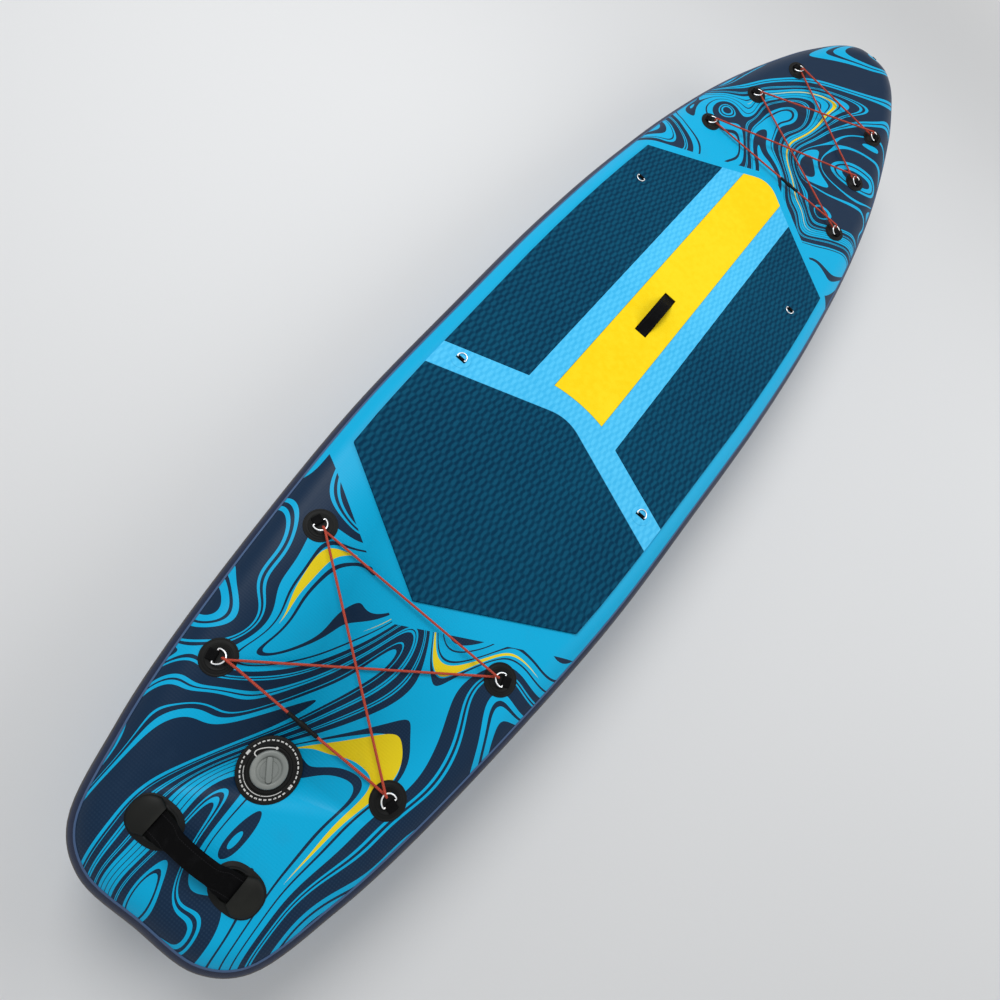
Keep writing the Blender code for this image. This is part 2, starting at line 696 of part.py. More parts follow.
def add_tail_handle():
    """One wide strap between two oval patches, whose boots hold its ends."""
    y = from_tail(TAIL_HANDLE_FROM_TAIL)
    top = SEAT_GAP + TAIL_PATCH_THICKNESS
    base = top + SEAT_GAP + TAIL_STRAP_THICKNESS / 2
    stations = arch_stations(
        TAIL_HANDLE_HALF,
        TAIL_TONGUE,
        base,
        TAIL_HANDLE_HEIGHT,
        (TAIL_STRAP_WIDTH, TAIL_STRAP_THICKNESS),
        (TAIL_GRIP_WIDTH, TAIL_GRIP_THICKNESS),
        steps=16,
    )
    mesh = strap_mesh("tail_handle_strap", stations, "Y")
    strap = add_object("tail_handle_strap", mesh, BLACK, smooth_angle=50)
    strap.location = (0, y, DECK)
    ceiling = base + TAIL_STRAP_THICKNESS / 2 + SEAT_GAP
    for side, word in ((-1, "left"), (1, "right")):
        name = f"tail_handle_patch_{word}"
        place = Matrix.Translation((side * TAIL_HANDLE_HALF, y, DECK))
        bm = bmesh.new()
        slab(bm, oval(TAIL_PATCH_LENGTH, TAIL_PATCH_WIDTH), SEAT_GAP, top)
        patch = add_object(name, finish_mesh(bm, name), RUBBER, place)
        boot = bmesh.new()
        length, width = TAIL_PATCH_LENGTH - 2 * BOOT_INSET, TAIL_PATCH_WIDTH - 2 * BOOT_INSET
        plan = oval(length, width, -math.pi / 2, math.pi / 2, 17)
        if side < 0:
            plan = [Vector((-p.x, p.y)) for p in reversed(plan)]
        slab(boot, plan, (SEAT_GAP + top) / 2, ceiling + BOOT_WALL)
        bmesh.ops.scale(boot, verts=[v for v in boot.verts if v.co.z > ceiling], vec=(BOOT_DRAFT, BOOT_DRAFT, 1))
        cover = add_object(f"boot_{word}", finish_mesh(boot, f"boot_{word}"), None, place)
        bevel(cover, BOOT_WALL * 0.5)
        throat = bmesh.new()
        width = TAIL_STRAP_WIDTH + 4 * SEAT_GAP
        reach = TAIL_TONGUE + 2 * SEAT_GAP
        centre = (side * (reach / 2 - 0.01), 0, (top + ceiling) / 2)
        box(throat, centre, (reach + 0.02, width, ceiling - top))
        mouth = add_object(f"boot_mouth_{word}", finish_mesh(throat, f"boot_mouth_{word}"), None, place)
        cut(patch, cover, "UNION")
        cut(patch, mouth)


def turned(name, profile, finish, place=None, sides=CIRCLE_SIDES):
    """A turned piece from its profile of (radius, height), run down its outer side."""
    bm = bmesh.new()
    loop = [bm.verts.new((radius, 0, height)) for radius, height in profile]
    closed = profile[0][0] > 0 and profile[-1][0] > 0
    pairs = list(zip(loop, loop[1:])) + ([(loop[-1], loop[0])] if closed else [])
    edges = [bm.edges.new(pair) for pair in pairs]
    bmesh.ops.spin(
        bm, geom=loop + edges, axis=(0, 0, 1), cent=(0, 0, 0), angle=math.tau, steps=sides, use_merge=True
    )
    bmesh.ops.remove_doubles(bm, verts=bm.verts, dist=1e-6)
    return add_object(name, finish_mesh(bm, name), finish, place, smooth_angle=35)


def add_valve():
    y = from_tail(VALVE_FROM_TAIL)
    place = Matrix.Translation((0, y, DECK))
    inner = VALVE_TUBE_RADIUS - VALVE_TUBE_WALL
    flange_inner = VALVE_TUBE_RADIUS + SEAT_GAP
    top = VALVE_FLANGE_HEIGHT
    under = -SKIN_THICKNESS - 2 * SEAT_GAP
    patch_inner = VALVE_FLANGE_RADIUS + 2 * SEAT_GAP
    patch_top = SEAT_GAP + VALVE_PATCH_THICKNESS
    patch_edge = VALVE_PATCH_RADIUS - VALVE_PATCH_THICKNESS
    turned(
        "valve_patch",
        [
            (patch_inner, patch_top), (patch_edge, patch_top),
            (VALVE_PATCH_RADIUS, SEAT_GAP), (patch_inner, SEAT_GAP),
        ],
        RUBBER, place, sides=32,
    )
    neck = VALVE_HOLE_RADIUS - 2 * SEAT_GAP
    rim = VALVE_FLANGE_RADIUS
    turned(
        "valve_flange",
        [
            (flange_inner, top), (rim - 0.002, top), (rim, top - 0.002), (rim, SEAT_GAP),
            (neck, SEAT_GAP), (neck, -SKIN_THICKNESS), (flange_inner, -SKIN_THICKNESS),
        ],
        RUBBER, place,
    )
    floor = -VALVE_DEPTH
    shelf = floor + VALVE_TUBE_WALL
    ledge = under - 0.0025
    tube = VALVE_TUBE_RADIUS
    body = turned(
        "valve_body",
        [
            (inner, top - 0.001), (tube, top - 0.001), (tube, under), (VALVE_FLANGE_RADIUS, under),
            (VALVE_FLANGE_RADIUS, ledge), (tube, ledge), (tube, floor), (VALVE_SEAT_RADIUS, floor),
            (VALVE_SEAT_RADIUS, shelf), (inner, shelf),
        ],
        RUBBER, place,
    )
    guide_top = -GUIDE_DEPTH + GUIDE_HEIGHT
    hub = STEM_RADIUS + FIN_RUNNING_GAP
    spider = turned(
        "guide_hub",
        [(hub, guide_top), (hub + 0.003, guide_top), (hub + 0.003, -GUIDE_DEPTH), (hub, -GUIDE_DEPTH)],
        None, place, sides=16,
    )
    for turn in range(3):
        bm = bmesh.new()
        reach = inner + VALVE_TUBE_WALL / 2 - hub - 0.0015
        middle = (hub + 0.0015 + reach / 2, 0, guide_top - GUIDE_HEIGHT / 2)
        box(bm, middle, (reach, 0.0025, GUIDE_HEIGHT * 0.8))
        spoke_place = place @ Matrix.Rotation(math.tau * turn / 3, 4, "Z")
        spoke = add_object(f"guide_spoke_{turn}", finish_mesh(bm, "guide_spoke"), None, spoke_place)
        cut(body, spoke, "UNION")
    cut(body, spider, "UNION")
    button = -BUTTON_DEPTH
    disc_top = floor - SEAT_GAP
    turned(
        "valve_stem",
        [
            (0, button), (BUTTON_RADIUS, button),
            (BUTTON_RADIUS, button - 0.002), (STEM_RADIUS, button - 0.002),
            (STEM_RADIUS, disc_top), (VALVE_SEAT_RADIUS + 0.0035, disc_top),
            (VALVE_SEAT_RADIUS + 0.0035, disc_top - 0.003), (0, disc_top - 0.003),
        ],
        CAP_GREY, place, sides=20,
    )
    add_spring(place, guide_top, button - 0.002)
    add_cap(place, top, inner)


def tube_mesh(name, points, radius, resolution=2, cyclic=False):
    """A tube along the points, as a mesh with closed ends."""
    curve = bpy.data.curves.new(name, "CURVE")
    curve.dimensions = "3D"
    curve.bevel_depth = radius
    curve.bevel_resolution = resolution
    curve.use_fill_caps = True
    spline = curve.splines.new("POLY")
    spline.points.add(len(points) - 1)
    for target, point in zip(spline.points, points):
        target.co = (*point, 1)
    spline.use_cyclic_u = cyclic
    helper = bpy.data.objects.new(name, curve)
    CUTTERS.objects.link(helper)
    graph = bpy.context.evaluated_depsgraph_get()
    mesh = bpy.data.meshes.new_from_object(helper.evaluated_get(graph))
    bpy.data.objects.remove(helper)
    bm = bmesh.new()
    bm.from_mesh(mesh)
    bmesh.ops.remove_doubles(bm, verts=bm.verts, dist=1e-6)
    bmesh.ops.recalc_face_normals(bm, faces=bm.faces)
    bm.to_mesh(mesh)
    bm.free()
    mesh.name = name
    return mesh


def add_spring(place, low, high):
    """The return spring, between the guide and the underside of the button."""
    radius = STEM_RADIUS + FIN_RUNNING_GAP + SPRING_WIRE
    start = low + SEAT_GAP + SPRING_WIRE / 2
    end = high - SEAT_GAP - SPRING_WIRE / 2
    steps = 10 * SPRING_TURNS
    points = []
    for i in range(steps + 1):
        turn = math.tau * SPRING_TURNS * i / steps
        height = start + (end - start) * i / steps
        points.append(Vector((radius * math.cos(turn), radius * math.sin(turn), height)))
    gap = (end - start) / SPRING_TURNS - SPRING_WIRE
    print(f"valve spring: {SPRING_TURNS} turns, least gap to itself {gap * 1000:.2f} mm")
    mesh = tube_mesh("valve_spring", points, SPRING_WIRE / 2, 1)
    add_object("valve_spring", mesh, STEEL, place, smooth_angle=60)


def add_cap(place, seat, bore):
    """The cap sits on the flange, its skirt inside the body and a grip bar on top."""
    skirt = bore - FIN_RUNNING_GAP
    low = seat + SEAT_GAP
    top = low + CAP_HEIGHT
    dish = top - 0.0018
    cap = turned(
        "valve_cap",
        [
            (0, dish), (CAP_RADIUS - 0.0105, dish), (CAP_RADIUS - 0.0085, top), (CAP_RADIUS - 0.0020, top),
            (CAP_RADIUS, top - 0.0022), (CAP_RADIUS, low), (skirt, low), (skirt, -CAP_SKIRT_DEPTH),
            (skirt - 0.0022, -CAP_SKIRT_DEPTH), (skirt - 0.0022, low + 0.001), (0, low + 0.001),
        ],
        CAP_GREY, place, sides=28,
    )
    bm = bmesh.new()
    half = CAP_BAR_WIDTH / 2
    length = CAP_RADIUS - 0.0115
    plan = [Vector(p) for p in ((length, -half), (length, half), (-length, half), (-length, -half))]
    slab(bm, plan, dish - 0.001, dish + CAP_BAR_HEIGHT)
    bar_place = place @ Matrix.Rotation(math.radians(CAP_BAR_ANGLE + 90), 4, "Z")
    bar = add_object("cap_grip_bar", finish_mesh(bm, "cap_grip_bar"), None, bar_place)
    bevel(bar, 0.0016, angle=30)
    cut(cap, bar, "UNION")
    radius = TETHER_RADIUS
    start = low + CAP_HEIGHT / 2
    reach = CAP_RADIUS + SEAT_GAP
    out = VALVE_FLANGE_RADIUS + 0.0060
    ground = SEAT_GAP + VALVE_PATCH_THICKNESS + SEAT_GAP + radius
    knots = [
        Vector((-reach, 0.004, start)), Vector((-reach - 0.004, 0.005, start + 0.001)),
        Vector((-out, 0.012, start - 0.001)), Vector((-out - 0.002, 0.020, ground + 0.001)),
        Vector((-out + 0.004, 0.026, ground)), Vector((-out + 0.010, 0.031, ground)),
    ]
    mesh = tube_mesh("valve_tether", smooth_path(knots, 3), radius, 1)
    add_object("valve_tether", mesh, TETHER_WHITE, place, 60)


def ring_points(width, reach, steps=9):
    """The closed centre line of a D-ring: its bar on X through the origin, its bow towards +Y."""
    half = width / 2
    points = []
    for i in range(steps + 1):
        turn = math.pi * i / steps
        points.append(Vector((half * math.cos(turn), reach * (0.16 + 0.84 * math.sin(turn)), 0)))
    return points + [Vector((-half * 0.94, 0, 0)), Vector((half * 0.94, 0, 0))]


def web_outline(bar_y, bar_z, hole, foot, tail):
    """The webbing loop's side view round the ring's bar, in Y and Z."""
    outer = hole + WEB_WALL
    shoulder = min(outer * 1.6, tail)
    points = [(bar_y - tail, foot), (bar_y - tail, foot + WEB_WALL), (bar_y - shoulder, bar_z + outer * 0.45)]
    for i in range(5):
        turn = math.radians(110 - 40 * i)
        points.append((bar_y + outer * math.cos(turn), bar_z + outer * math.sin(turn)))
    return points + [(bar_y + outer * 0.9, foot)]


def patch_mesh_parts(name, radius, bar_y, bar_z, width, hole, tail, thickness=RING_PATCH_THICKNESS):
    """A round patch with a smaller cover and the webbing loop that holds a ring's bar."""
    top = SEAT_GAP + thickness
    cover_top = top + thickness * 0.8
    bm = bmesh.new()
    disc(bm, radius, SEAT_GAP, top, sides=20)
    base = add_object(f"{name}_base", finish_mesh(bm, name))
    bm = bmesh.new()
    disc(bm, radius * RING_COVER_SHARE, top - thickness / 2, cover_top, sides=16)
    cover = add_object(f"{name}_cover", finish_mesh(bm, f"{name}_cover"))
    bm = bmesh.new()
    prism(bm, web_outline(bar_y, bar_z, hole, top - thickness / 2, tail), -width / 2, width / 2)
    web = add_object(f"{name}_web", finish_mesh(bm, f"{name}_web"))
    bm = bmesh.new()
    bar_hole = Matrix.Translation((0, bar_y, bar_z)) @ Matrix.Rotation(math.pi / 2, 4, "Y")
    bmesh.ops.create_cone(
        bm, cap_ends=True, segments=12, radius1=hole, radius2=hole, depth=2 * width, matrix=bar_hole
    )
    bore = add_object(f"{name}_bore", finish_mesh(bm, f"{name}_bore"))
    cut(base, cover, "UNION")
    cut(base, web, "UNION")
    cut(base, bore)
    graph = bpy.context.evaluated_depsgraph_get()
    bpy.context.view_layer.update()
    mesh = bpy.data.meshes.new_from_object(base.evaluated_get(graph))
    mesh.name = name
    for helper in (base, cover, web, bore):
        bpy.data.objects.remove(helper)
    return mesh


def ring_spots():
    """Each deck ring: name, place on the deck and heading of its bow, in radians from +Y."""
    spots = {}
    rows = [(name, from_tail(distance), inset) for name, distance, inset in TAIL_RINGS]
    rows += [(name, from_nose(distance), inset) for name, distance, inset in NOSE_RINGS]
    for name, y, inset in rows:
        for side, word in ((-1, "left"), (1, "right")):
            spots[f"{name}_{word}"] = Vector((side * (half_width(y) - inset), y))
    return spots


TAIL_LOOP = ("tail_rear_left", "tail_front_right", "tail_front_left", "tail_rear_right")
NOSE_LOOP = (
    "nose_rear_left", "nose_mid_right", "nose_front_left",
    "nose_front_right", "nose_mid_left", "nose_rear_right",
)
# Whether the cord leaves each ring of the loop over its bow (1) or under it (-1), towards the next ring
TAIL_LEAVES = (-1, 1, 1, -1)
NOSE_LEAVES = (1, -1, 1, 1, -1, 1)


def loop_headings(loop, spots):
    """The bow of each ring points between the two runs of cord that pull it."""
    headings = {}
    for i, name in enumerate(loop):
        here = spots[name]
        before = (spots[loop[i - 1]] - here).normalized()
        after = (spots[loop[(i + 1) % len(loop)]] - here).normalized()
        pull = before + after
        headings[name] = math.atan2(-pull.x, pull.y)
    return headings


def add_bungee_rings(spots, headings):
    """Patches and rings under the bungees. Returns the place of each ring's bow, for the cord."""
    hole = RING_WIRE / 2 + RING_PLAY
    wire = tube_mesh("ring", ring_points(RING_WIDTH, RING_REACH), RING_WIRE / 2, 1, cyclic=True)
    patches = {}
    for row, radius in (("tail", TAIL_RING_PATCH_RADIUS), ("nose", NOSE_RING_PATCH_RADIUS)):
        patches[row] = patch_mesh_parts(
            f"{row}_ring_patch", radius, -RING_SETBACK, RING_BAR_HEIGHT, WEB_WIDTH, hole, radius * 0.55
        )
    bows = {}
    for name, spot in spots.items():
        frame = deck_frame(spot.x, spot.y, headings[name])
        add_object(f"{name}_patch", patches[name[:4]].copy(), RUBBER, frame, smooth_angle=30)
        tilt = Matrix.Rotation(math.radians(RING_TILT), 4, "X")
        bar = frame @ Matrix.Translation((0, -RING_SETBACK, RING_BAR_HEIGHT)) @ tilt
        add_object(f"{name}_ring", wire.copy(), STEEL, bar, smooth_angle=60)
        axes = frame.to_3x3().col
        bows[name] = (bar @ Vector((0, RING_REACH, 0)), axes[1].copy(), axes[2].copy())
    return bows


def bungee_path(loop, leaves, bows, joiner_offset):
    """The cord's centre line, from one end in the joiner round every ring to the other."""
    clearance = (CORD_DIAMETER + RING_WIRE) / 2 + SEAT_GAP
    count = len(loop)
    route = []
    for i, name in enumerate(loop):
        bow, ahead, up = bows[name]
        arrives = -leaves[i]
        wrap = []
        for degrees in (90, 135, 180, 225, 270):
            turn = math.radians(degrees)
            wrap.append(bow + clearance * (ahead * math.cos(turn) + up * math.sin(turn)))
        if arrives < 0:
            wrap.reverse()
        route.append(wrap)
    last_run = (route[-1][-1], route[0][0])
    middle = (last_run[0] + last_run[1]) / 2
    along = (last_run[1] - last_run[0]).normalized()
    joiner = middle + along * (joiner_offset / along.x if abs(along.x) > 0.5 else 0)
    inside = JOINER_LENGTH / 2 - JOINER_SOCKET + SEAT_GAP
    points = [joiner + along * inside, joiner + along * (JOINER_LENGTH / 2 + 0.01)]
    for i in range(count):
        points += route[i]
        if i + 1 < count:
            start = route[i][-1]
            stop = route[i + 1][0]
            points += [start.lerp(stop, 0.04), start.lerp(stop, 0.5), start.lerp(stop, 0.96)]
    points += [joiner - along * (JOINER_LENGTH / 2 + 0.01), joiner - along * inside]
    return points, joiner, along


def add_bungee(name, loop, leaves, bows, joiner_offset):
    points, joiner, along = bungee_path(loop, leaves, bows, joiner_offset)
    mesh = tube_mesh(f"{name}_bungee", points, CORD_DIAMETER / 2, 2)
    add_object(f"{name}_bungee", mesh, CORD_RED, None, 60)
    half = JOINER_LENGTH / 2
    bore = CORD_DIAMETER / 2 + SEAT_GAP
    wall = half - JOINER_SOCKET
    place = Matrix.Translation(joiner) @ along.to_track_quat("Z", "Y").to_matrix().to_4x4()
    turned(
        f"{name}_bungee_joiner",
        [
            (0, wall), (bore, wall), (bore, half),
            (JOINER_RADIUS - 0.001, half), (JOINER_RADIUS, half - 0.002),
            (JOINER_RADIUS, -half + 0.002), (JOINER_RADIUS - 0.001, -half),
            (bore, -half), (bore, -wall), (0, -wall),
        ],
        RUBBER, place, sides=12,
    )


def add_pad_rings(pads):
    """Rings whose patches lie under the pad and whose webbing comes up through slots in it."""
    hole = PAD_RING_WIRE / 2 + RING_PLAY
    bar_z = SEAT_GAP + PAD_THICKNESS + SEAT_GAP + PAD_RING_WIRE / 2
    bend = ring_points(PAD_RING_WIDTH, PAD_RING_REACH)
    wire = tube_mesh("pad_ring", bend, PAD_RING_WIRE / 2, 1, cyclic=True)
    tail = hole + WEB_WALL + 0.0005
    patch = patch_mesh_parts(
        "pad_ring_patch", PAD_RING_PATCH_RADIUS, 0, bar_z, PAD_WEB_WIDTH, hole, tail, PAD_RING_PATCH_THICKNESS
    )
    pocket_top = SEAT_GAP + PAD_RING_PATCH_THICKNESS * 1.8 + SEAT_GAP
    rows = (
        (PAD_RING_REAR[0], from_tail(PAD_RING_REAR[1]), PAD_RING_REAR[2], 0.0, "frame"),
        (PAD_RING_FRONT[0], from_nose(PAD_RING_FRONT[1]), PAD_RING_FRONT[2], math.pi, "panel"),
    )
    for name, y, inset, heading, target in rows:
        for side, word in ((-1, "left"), (1, "right")):
            frame = deck_frame(side * (half_width(y) - inset), y, heading)
            add_object(f"{name}_{word}_patch", patch.copy(), RUBBER, frame, smooth_angle=30)
            bar = frame @ Matrix.Translation((0, 0, bar_z))
            add_object(f"{name}_{word}_ring", wire.copy(), STEEL, bar, smooth_angle=60)
            pad = pads[target if target == "frame" else f"panel_{side}"]
            bm = bmesh.new()
            disc(bm, PAD_RING_PATCH_RADIUS + 2 * SEAT_GAP, -0.004, pocket_top, sides=20)
            pocket = add_object(f"{name}_{word}_pocket", finish_mesh(bm, "ring_pocket"), None, frame)
            bm = bmesh.new()
            slot_length = 2 * (hole + WEB_WALL + PAD_SLOT_MARGIN)
            box(bm, (0, 0, PAD_THICKNESS), (PAD_SLOT_WIDTH, slot_length, 3 * PAD_THICKNESS))
            slot = add_object(f"{name}_{word}_slot", finish_mesh(bm, "ring_slot"), None, frame)
            cut(pad, pocket)
            cut(pad, slot)


def rail_point(across, angle, outward):
    """A point on the nose tip's rail: across the board, at this angle from the top, off the surface."""
    turn = math.radians(angle)
    radius = RAIL_RADIUS + outward
    loop = [p for p in full_outline(RAIL_RADIUS - radius * math.sin(turn)) if p.y > 0]
    y = max(p.y for p in loop)
    for right, left in zip(loop, loop[1:]):
        if left.x <= across <= right.x:
            y = right.y + (left.y - right.y) * (across - right.x) / (left.x - right.x)
    return Vector((across, y, BOARD_THICKNESS / 2 + radius * math.cos(turn) + lift(y)))


def add_tow_ring():
    """A small patch rolled over the nose tip, and the ring that hangs in its webbing."""
    half_angle = math.degrees(TOW_PATCH_HALF / RAIL_RADIUS)
    bm = bmesh.new()
    columns = 4
    rows = 5
    grid = []
    for row in range(rows + 1):
        angle = TOW_ANGLE + half_angle * (2 * row / rows - 1)
        line = []
        for column in range(columns + 1):
            across = TOW_PATCH_HALF * (2 * column / columns - 1)
            line.append(bm.verts.new(rail_point(across, angle, 0.0008)))
        grid.append(line)
    for lower, upper in zip(grid, grid[1:]):
        for i in range(columns):
            bm.faces.new((lower[i], lower[i + 1], upper[i + 1], upper[i]))
    bmesh.ops.recalc_face_normals(bm, faces=bm.faces)
    if bm.faces[0].normal.y + bm.faces[0].normal.z < 0:
        bmesh.ops.reverse_faces(bm, faces=bm.faces)
    mesh = bpy.data.meshes.new("tow_patch")
    bm.to_mesh(mesh)
    bm.free()
    patch = solidify(add_object("nose_tow_patch", mesh, RUBBER, smooth_angle=30), RING_PATCH_THICKNESS, 1.0)
    hole = PAD_RING_WIRE / 2 + RING_PLAY
    outer = hole + WEB_WALL
    surface = rail_point(0, TOW_ANGLE, 0.0008 + RING_PATCH_THICKNESS)
    frame = Matrix.Translation(surface) @ Matrix.Rotation(-math.radians(TOW_ANGLE), 4, "X")
    bar_z = outer - 0.0004
    bm = bmesh.new()
    side_view = web_outline(0, bar_z, hole, -RING_PATCH_THICKNESS * 0.6, outer * 2.2)
    prism(bm, side_view, -PAD_WEB_WIDTH / 2, PAD_WEB_WIDTH / 2)
    web = add_object("tow_web", finish_mesh(bm, "tow_web"), None, frame)
    bm = bmesh.new()
    bar_hole = Matrix.Translation((0, 0, bar_z)) @ Matrix.Rotation(math.pi / 2, 4, "Y")
    bmesh.ops.create_cone(
        bm, cap_ends=True, segments=12, radius1=hole, radius2=hole, depth=3 * PAD_WEB_WIDTH, matrix=bar_hole
    )
    bore = add_object("tow_bore", finish_mesh(bm, "tow_bore"), None, frame)
    cut(patch, web, "UNION")
    cut(patch, bore)
    bend = ring_points(PAD_RING_WIDTH, PAD_RING_REACH)
    wire = tube_mesh("nose_tow_ring", bend, PAD_RING_WIRE / 2, 1, cyclic=True)
    bar = frame @ Matrix.Translation((0, 0, bar_z)) @ Matrix.Rotation(math.radians(-8), 4, "X")
    add_object("nose_tow_ring", wire, STEEL, bar, smooth_angle=60)


def foil_ring(bm, chord_start, chord, thickness, z):
    """One section of a fin: a thin lens, leading edge towards +Y."""
    shape = ((0.0, 0.0), (0.03, 0.55), (0.15, 0.95), (0.4, 1.0), (0.7, 0.6), (1.0, 0.10))
    right = [(chord_start - share * chord, half * thickness / 2) for share, half in shape]
    left = [(y, -x) for y, x in reversed(right[1:])]
    return [bm.verts.new((x, y, z)) for y, x in right + left]


def fin_blade(bm, length, depth, top, thickness):
    """A raked fin from its root at z = top down to its tip."""
    sections = (
        (0.0, 0.00, 1.00), (0.2, 0.10, 0.88), (0.45, 0.27, 0.70),
        (0.7, 0.50, 0.49), (0.9, 0.74, 0.30), (1.0, 0.90, 0.17),
    )
    rings = []
    for down, sweep, chord in sections:
        thin = thickness * (1 - 0.6 * down)
        height = top - down * (depth + top)
        rings.append(foil_ring(bm, length / 2 - sweep * length, chord * length, thin, height))
    for lower, upper in zip(rings, rings[1:]):
        ring_faces(bm, lower, upper)
    bm.faces.new(rings[0])
    bm.faces.new(rings[-1])


def add_center_fin():
    y = from_tail(FIN_BOX_FROM_TAIL)
    place = Matrix.Translation((0, y, 0))
    floor = -FIN_BOX_HEIGHT
    groove_top = -FIN_GROOVE_TOP
    bm = bmesh.new()
    plate = (FIN_PLATE_WIDTH, FIN_PLATE_LENGTH, FIN_PLATE_THICKNESS)
    box(bm, (0, 0, -SEAT_GAP - FIN_PLATE_THICKNESS / 2), plate)
    fin_box = bevel(add_object("center_fin_box", finish_mesh(bm, "center_fin_box"), FIN_BLACK, place), 0.001)
    bm = bmesh.new()
    top = -SEAT_GAP - FIN_PLATE_THICKNESS / 2
    box(bm, (0, 0, (top + floor) / 2), (FIN_BOX_WIDTH, FIN_BOX_LENGTH, top - floor))
    channel = bevel(add_object("fin_channel", finish_mesh(bm, "fin_channel"), None, place), 0.002)
    cut(fin_box, channel, "UNION")
    bm = bmesh.new()
    depth = groove_top - floor + 0.01
    box(bm, (0, 0, groove_top - depth / 2), (FIN_SLOT_WIDTH, FIN_SLOT_LENGTH, depth))
    cut(fin_box, add_object("fin_slot", finish_mesh(bm, "fin_slot"), None, place))
    bm = bmesh.new()
    middle = groove_top - FIN_GROOVE_HEIGHT / 2
    box(bm, (0, 0, middle), (FIN_GROOVE_WIDTH, FIN_SLOT_LENGTH, FIN_GROOVE_HEIGHT))
    cut(fin_box, add_object("fin_groove", finish_mesh(bm, "fin_groove"), None, place))

    bm = bmesh.new()
    gap = FIN_RUNNING_GAP
    root = floor - gap
    fin_blade(bm, FIN_BASE_LENGTH, FIN_DEPTH, root, FIN_THICKNESS)
    fin = add_object("center_fin", finish_mesh(bm, "center_fin"), FIN_BLACK, place, smooth_angle=40)
    width = FIN_SLOT_WIDTH - 2 * gap
    keel_top = groove_top - FIN_GROOVE_HEIGHT + 0.001
    tab_top = groove_top - FIN_GROOVE_HEIGHT - 0.0006
    front = FIN_BASE_LENGTH / 2
    bm = bmesh.new()
    box(bm, (0, 0, (keel_top + root - 0.004) / 2), (width, FIN_BASE_LENGTH * 0.92, keel_top - root + 0.004))
    cut(fin, add_object("fin_keel", finish_mesh(bm, "fin_keel"), None, place), "UNION")
    bm = bmesh.new()
    tab = FIN_TAB_LENGTH
    box(bm, (0, front + tab / 2 - 0.012, (tab_top - 0.0035)), (width, tab + 0.012, 0.006))
    cut(fin, add_object("fin_tab", finish_mesh(bm, "fin_tab"), None, place), "UNION")
    bm = bmesh.new()
    pin_width = FIN_GROOVE_WIDTH - 2 * gap
    pin_height = FIN_GROOVE_HEIGHT - 2 * gap
    box(bm, (0, -front * 0.78, middle), (pin_width, 0.010, pin_height))
    cut(fin, add_object("fin_cross_pin", finish_mesh(bm, "fin_cross_pin"), None, place), "UNION")
    bm = bmesh.new()
    screw_y = front + tab * 0.5
    disc(bm, FIN_SCREW_RADIUS + gap, -0.03, 0.0, (0, screw_y), sides=12)
    cut(fin, add_object("fin_screw_hole", finish_mesh(bm, "fin_screw_hole"), None, place))

    bm = bmesh.new()
    box(bm, (0, screw_y, middle), (pin_width, 0.014, pin_height))
    nut = add_object("center_fin_nut", finish_mesh(bm, "center_fin_nut"), BRASS, place)
    bm = bmesh.new()
    disc(bm, FIN_SCREW_RADIUS + SEAT_GAP, -0.03, 0.01, (0, screw_y), sides=12)
    cut(nut, add_object("fin_nut_hole", finish_mesh(bm, "fin_nut_hole"), None, place))
    head_top = tab_top - 0.0065 - gap
    head = min(FIN_SCREW_HEAD, FIN_SLOT_WIDTH / 2 - gap)
    turned(
        "center_fin_screw",
        [
            (0, groove_top - gap * 2), (FIN_SCREW_RADIUS, groove_top - gap * 2), (FIN_SCREW_RADIUS, head_top),
            (head, head_top), (head, head_top - 0.003), (0, head_top - 0.003),
        ],
        STEEL, place @ Matrix.Translation((0, screw_y, 0)), sides=12,
    )


def add_side_fins():
    y = from_tail(SIDE_FIN_FROM_TAIL)
    x = half_width(y) - SIDE_FIN_INSET
    for side, word in ((-1, "left"), (1, "right")):
        name = f"side_fin_{word}"
        place = Matrix.Translation((side * x, y, 0))
        bm = bmesh.new()
        low = -SEAT_GAP - SIDE_FIN_BASE_THICKNESS
        fin_blade(bm, SIDE_FIN_LENGTH, FIN_DEPTH, low + SIDE_FIN_BASE_THICKNESS / 2, SIDE_FIN_THICKNESS)
        fin = add_object(name, finish_mesh(bm, name), FIN_BLACK, place, smooth_angle=40)
        bm = bmesh.new()
        half = SIDE_FIN_BASE_WIDTH / 2
        long = SIDE_FIN_BASE_LENGTH / 2
        corner = half * 0.6
        plan = [Vector(p) for p in (
            (half, -long + corner), (half, long - corner), (half - corner, long), (corner - half, long),
            (-half, long - corner), (-half, corner - long), (corner - half, -long), (half - corner, -long),
        )]
        slab(bm, plan, low, -SEAT_GAP)
        cut(fin, add_object(f"{name}_base", finish_mesh(bm, f"{name}_base"), None, place), "UNION")


def stand_on_fins():
    """Lifts everything by the fins' depth and centres the whole length over the origin."""
    stand = bpy.data.objects.new("stand", None)
    for obj in list(PARTS.objects) + list(CUTTERS.objects):
        obj.parent = stand
    PARTS.objects.link(stand)
    stand.location = (0, -NOSE_OVERREACH / 2, FIN_DEPTH)
    bpy.context.view_layer.update()


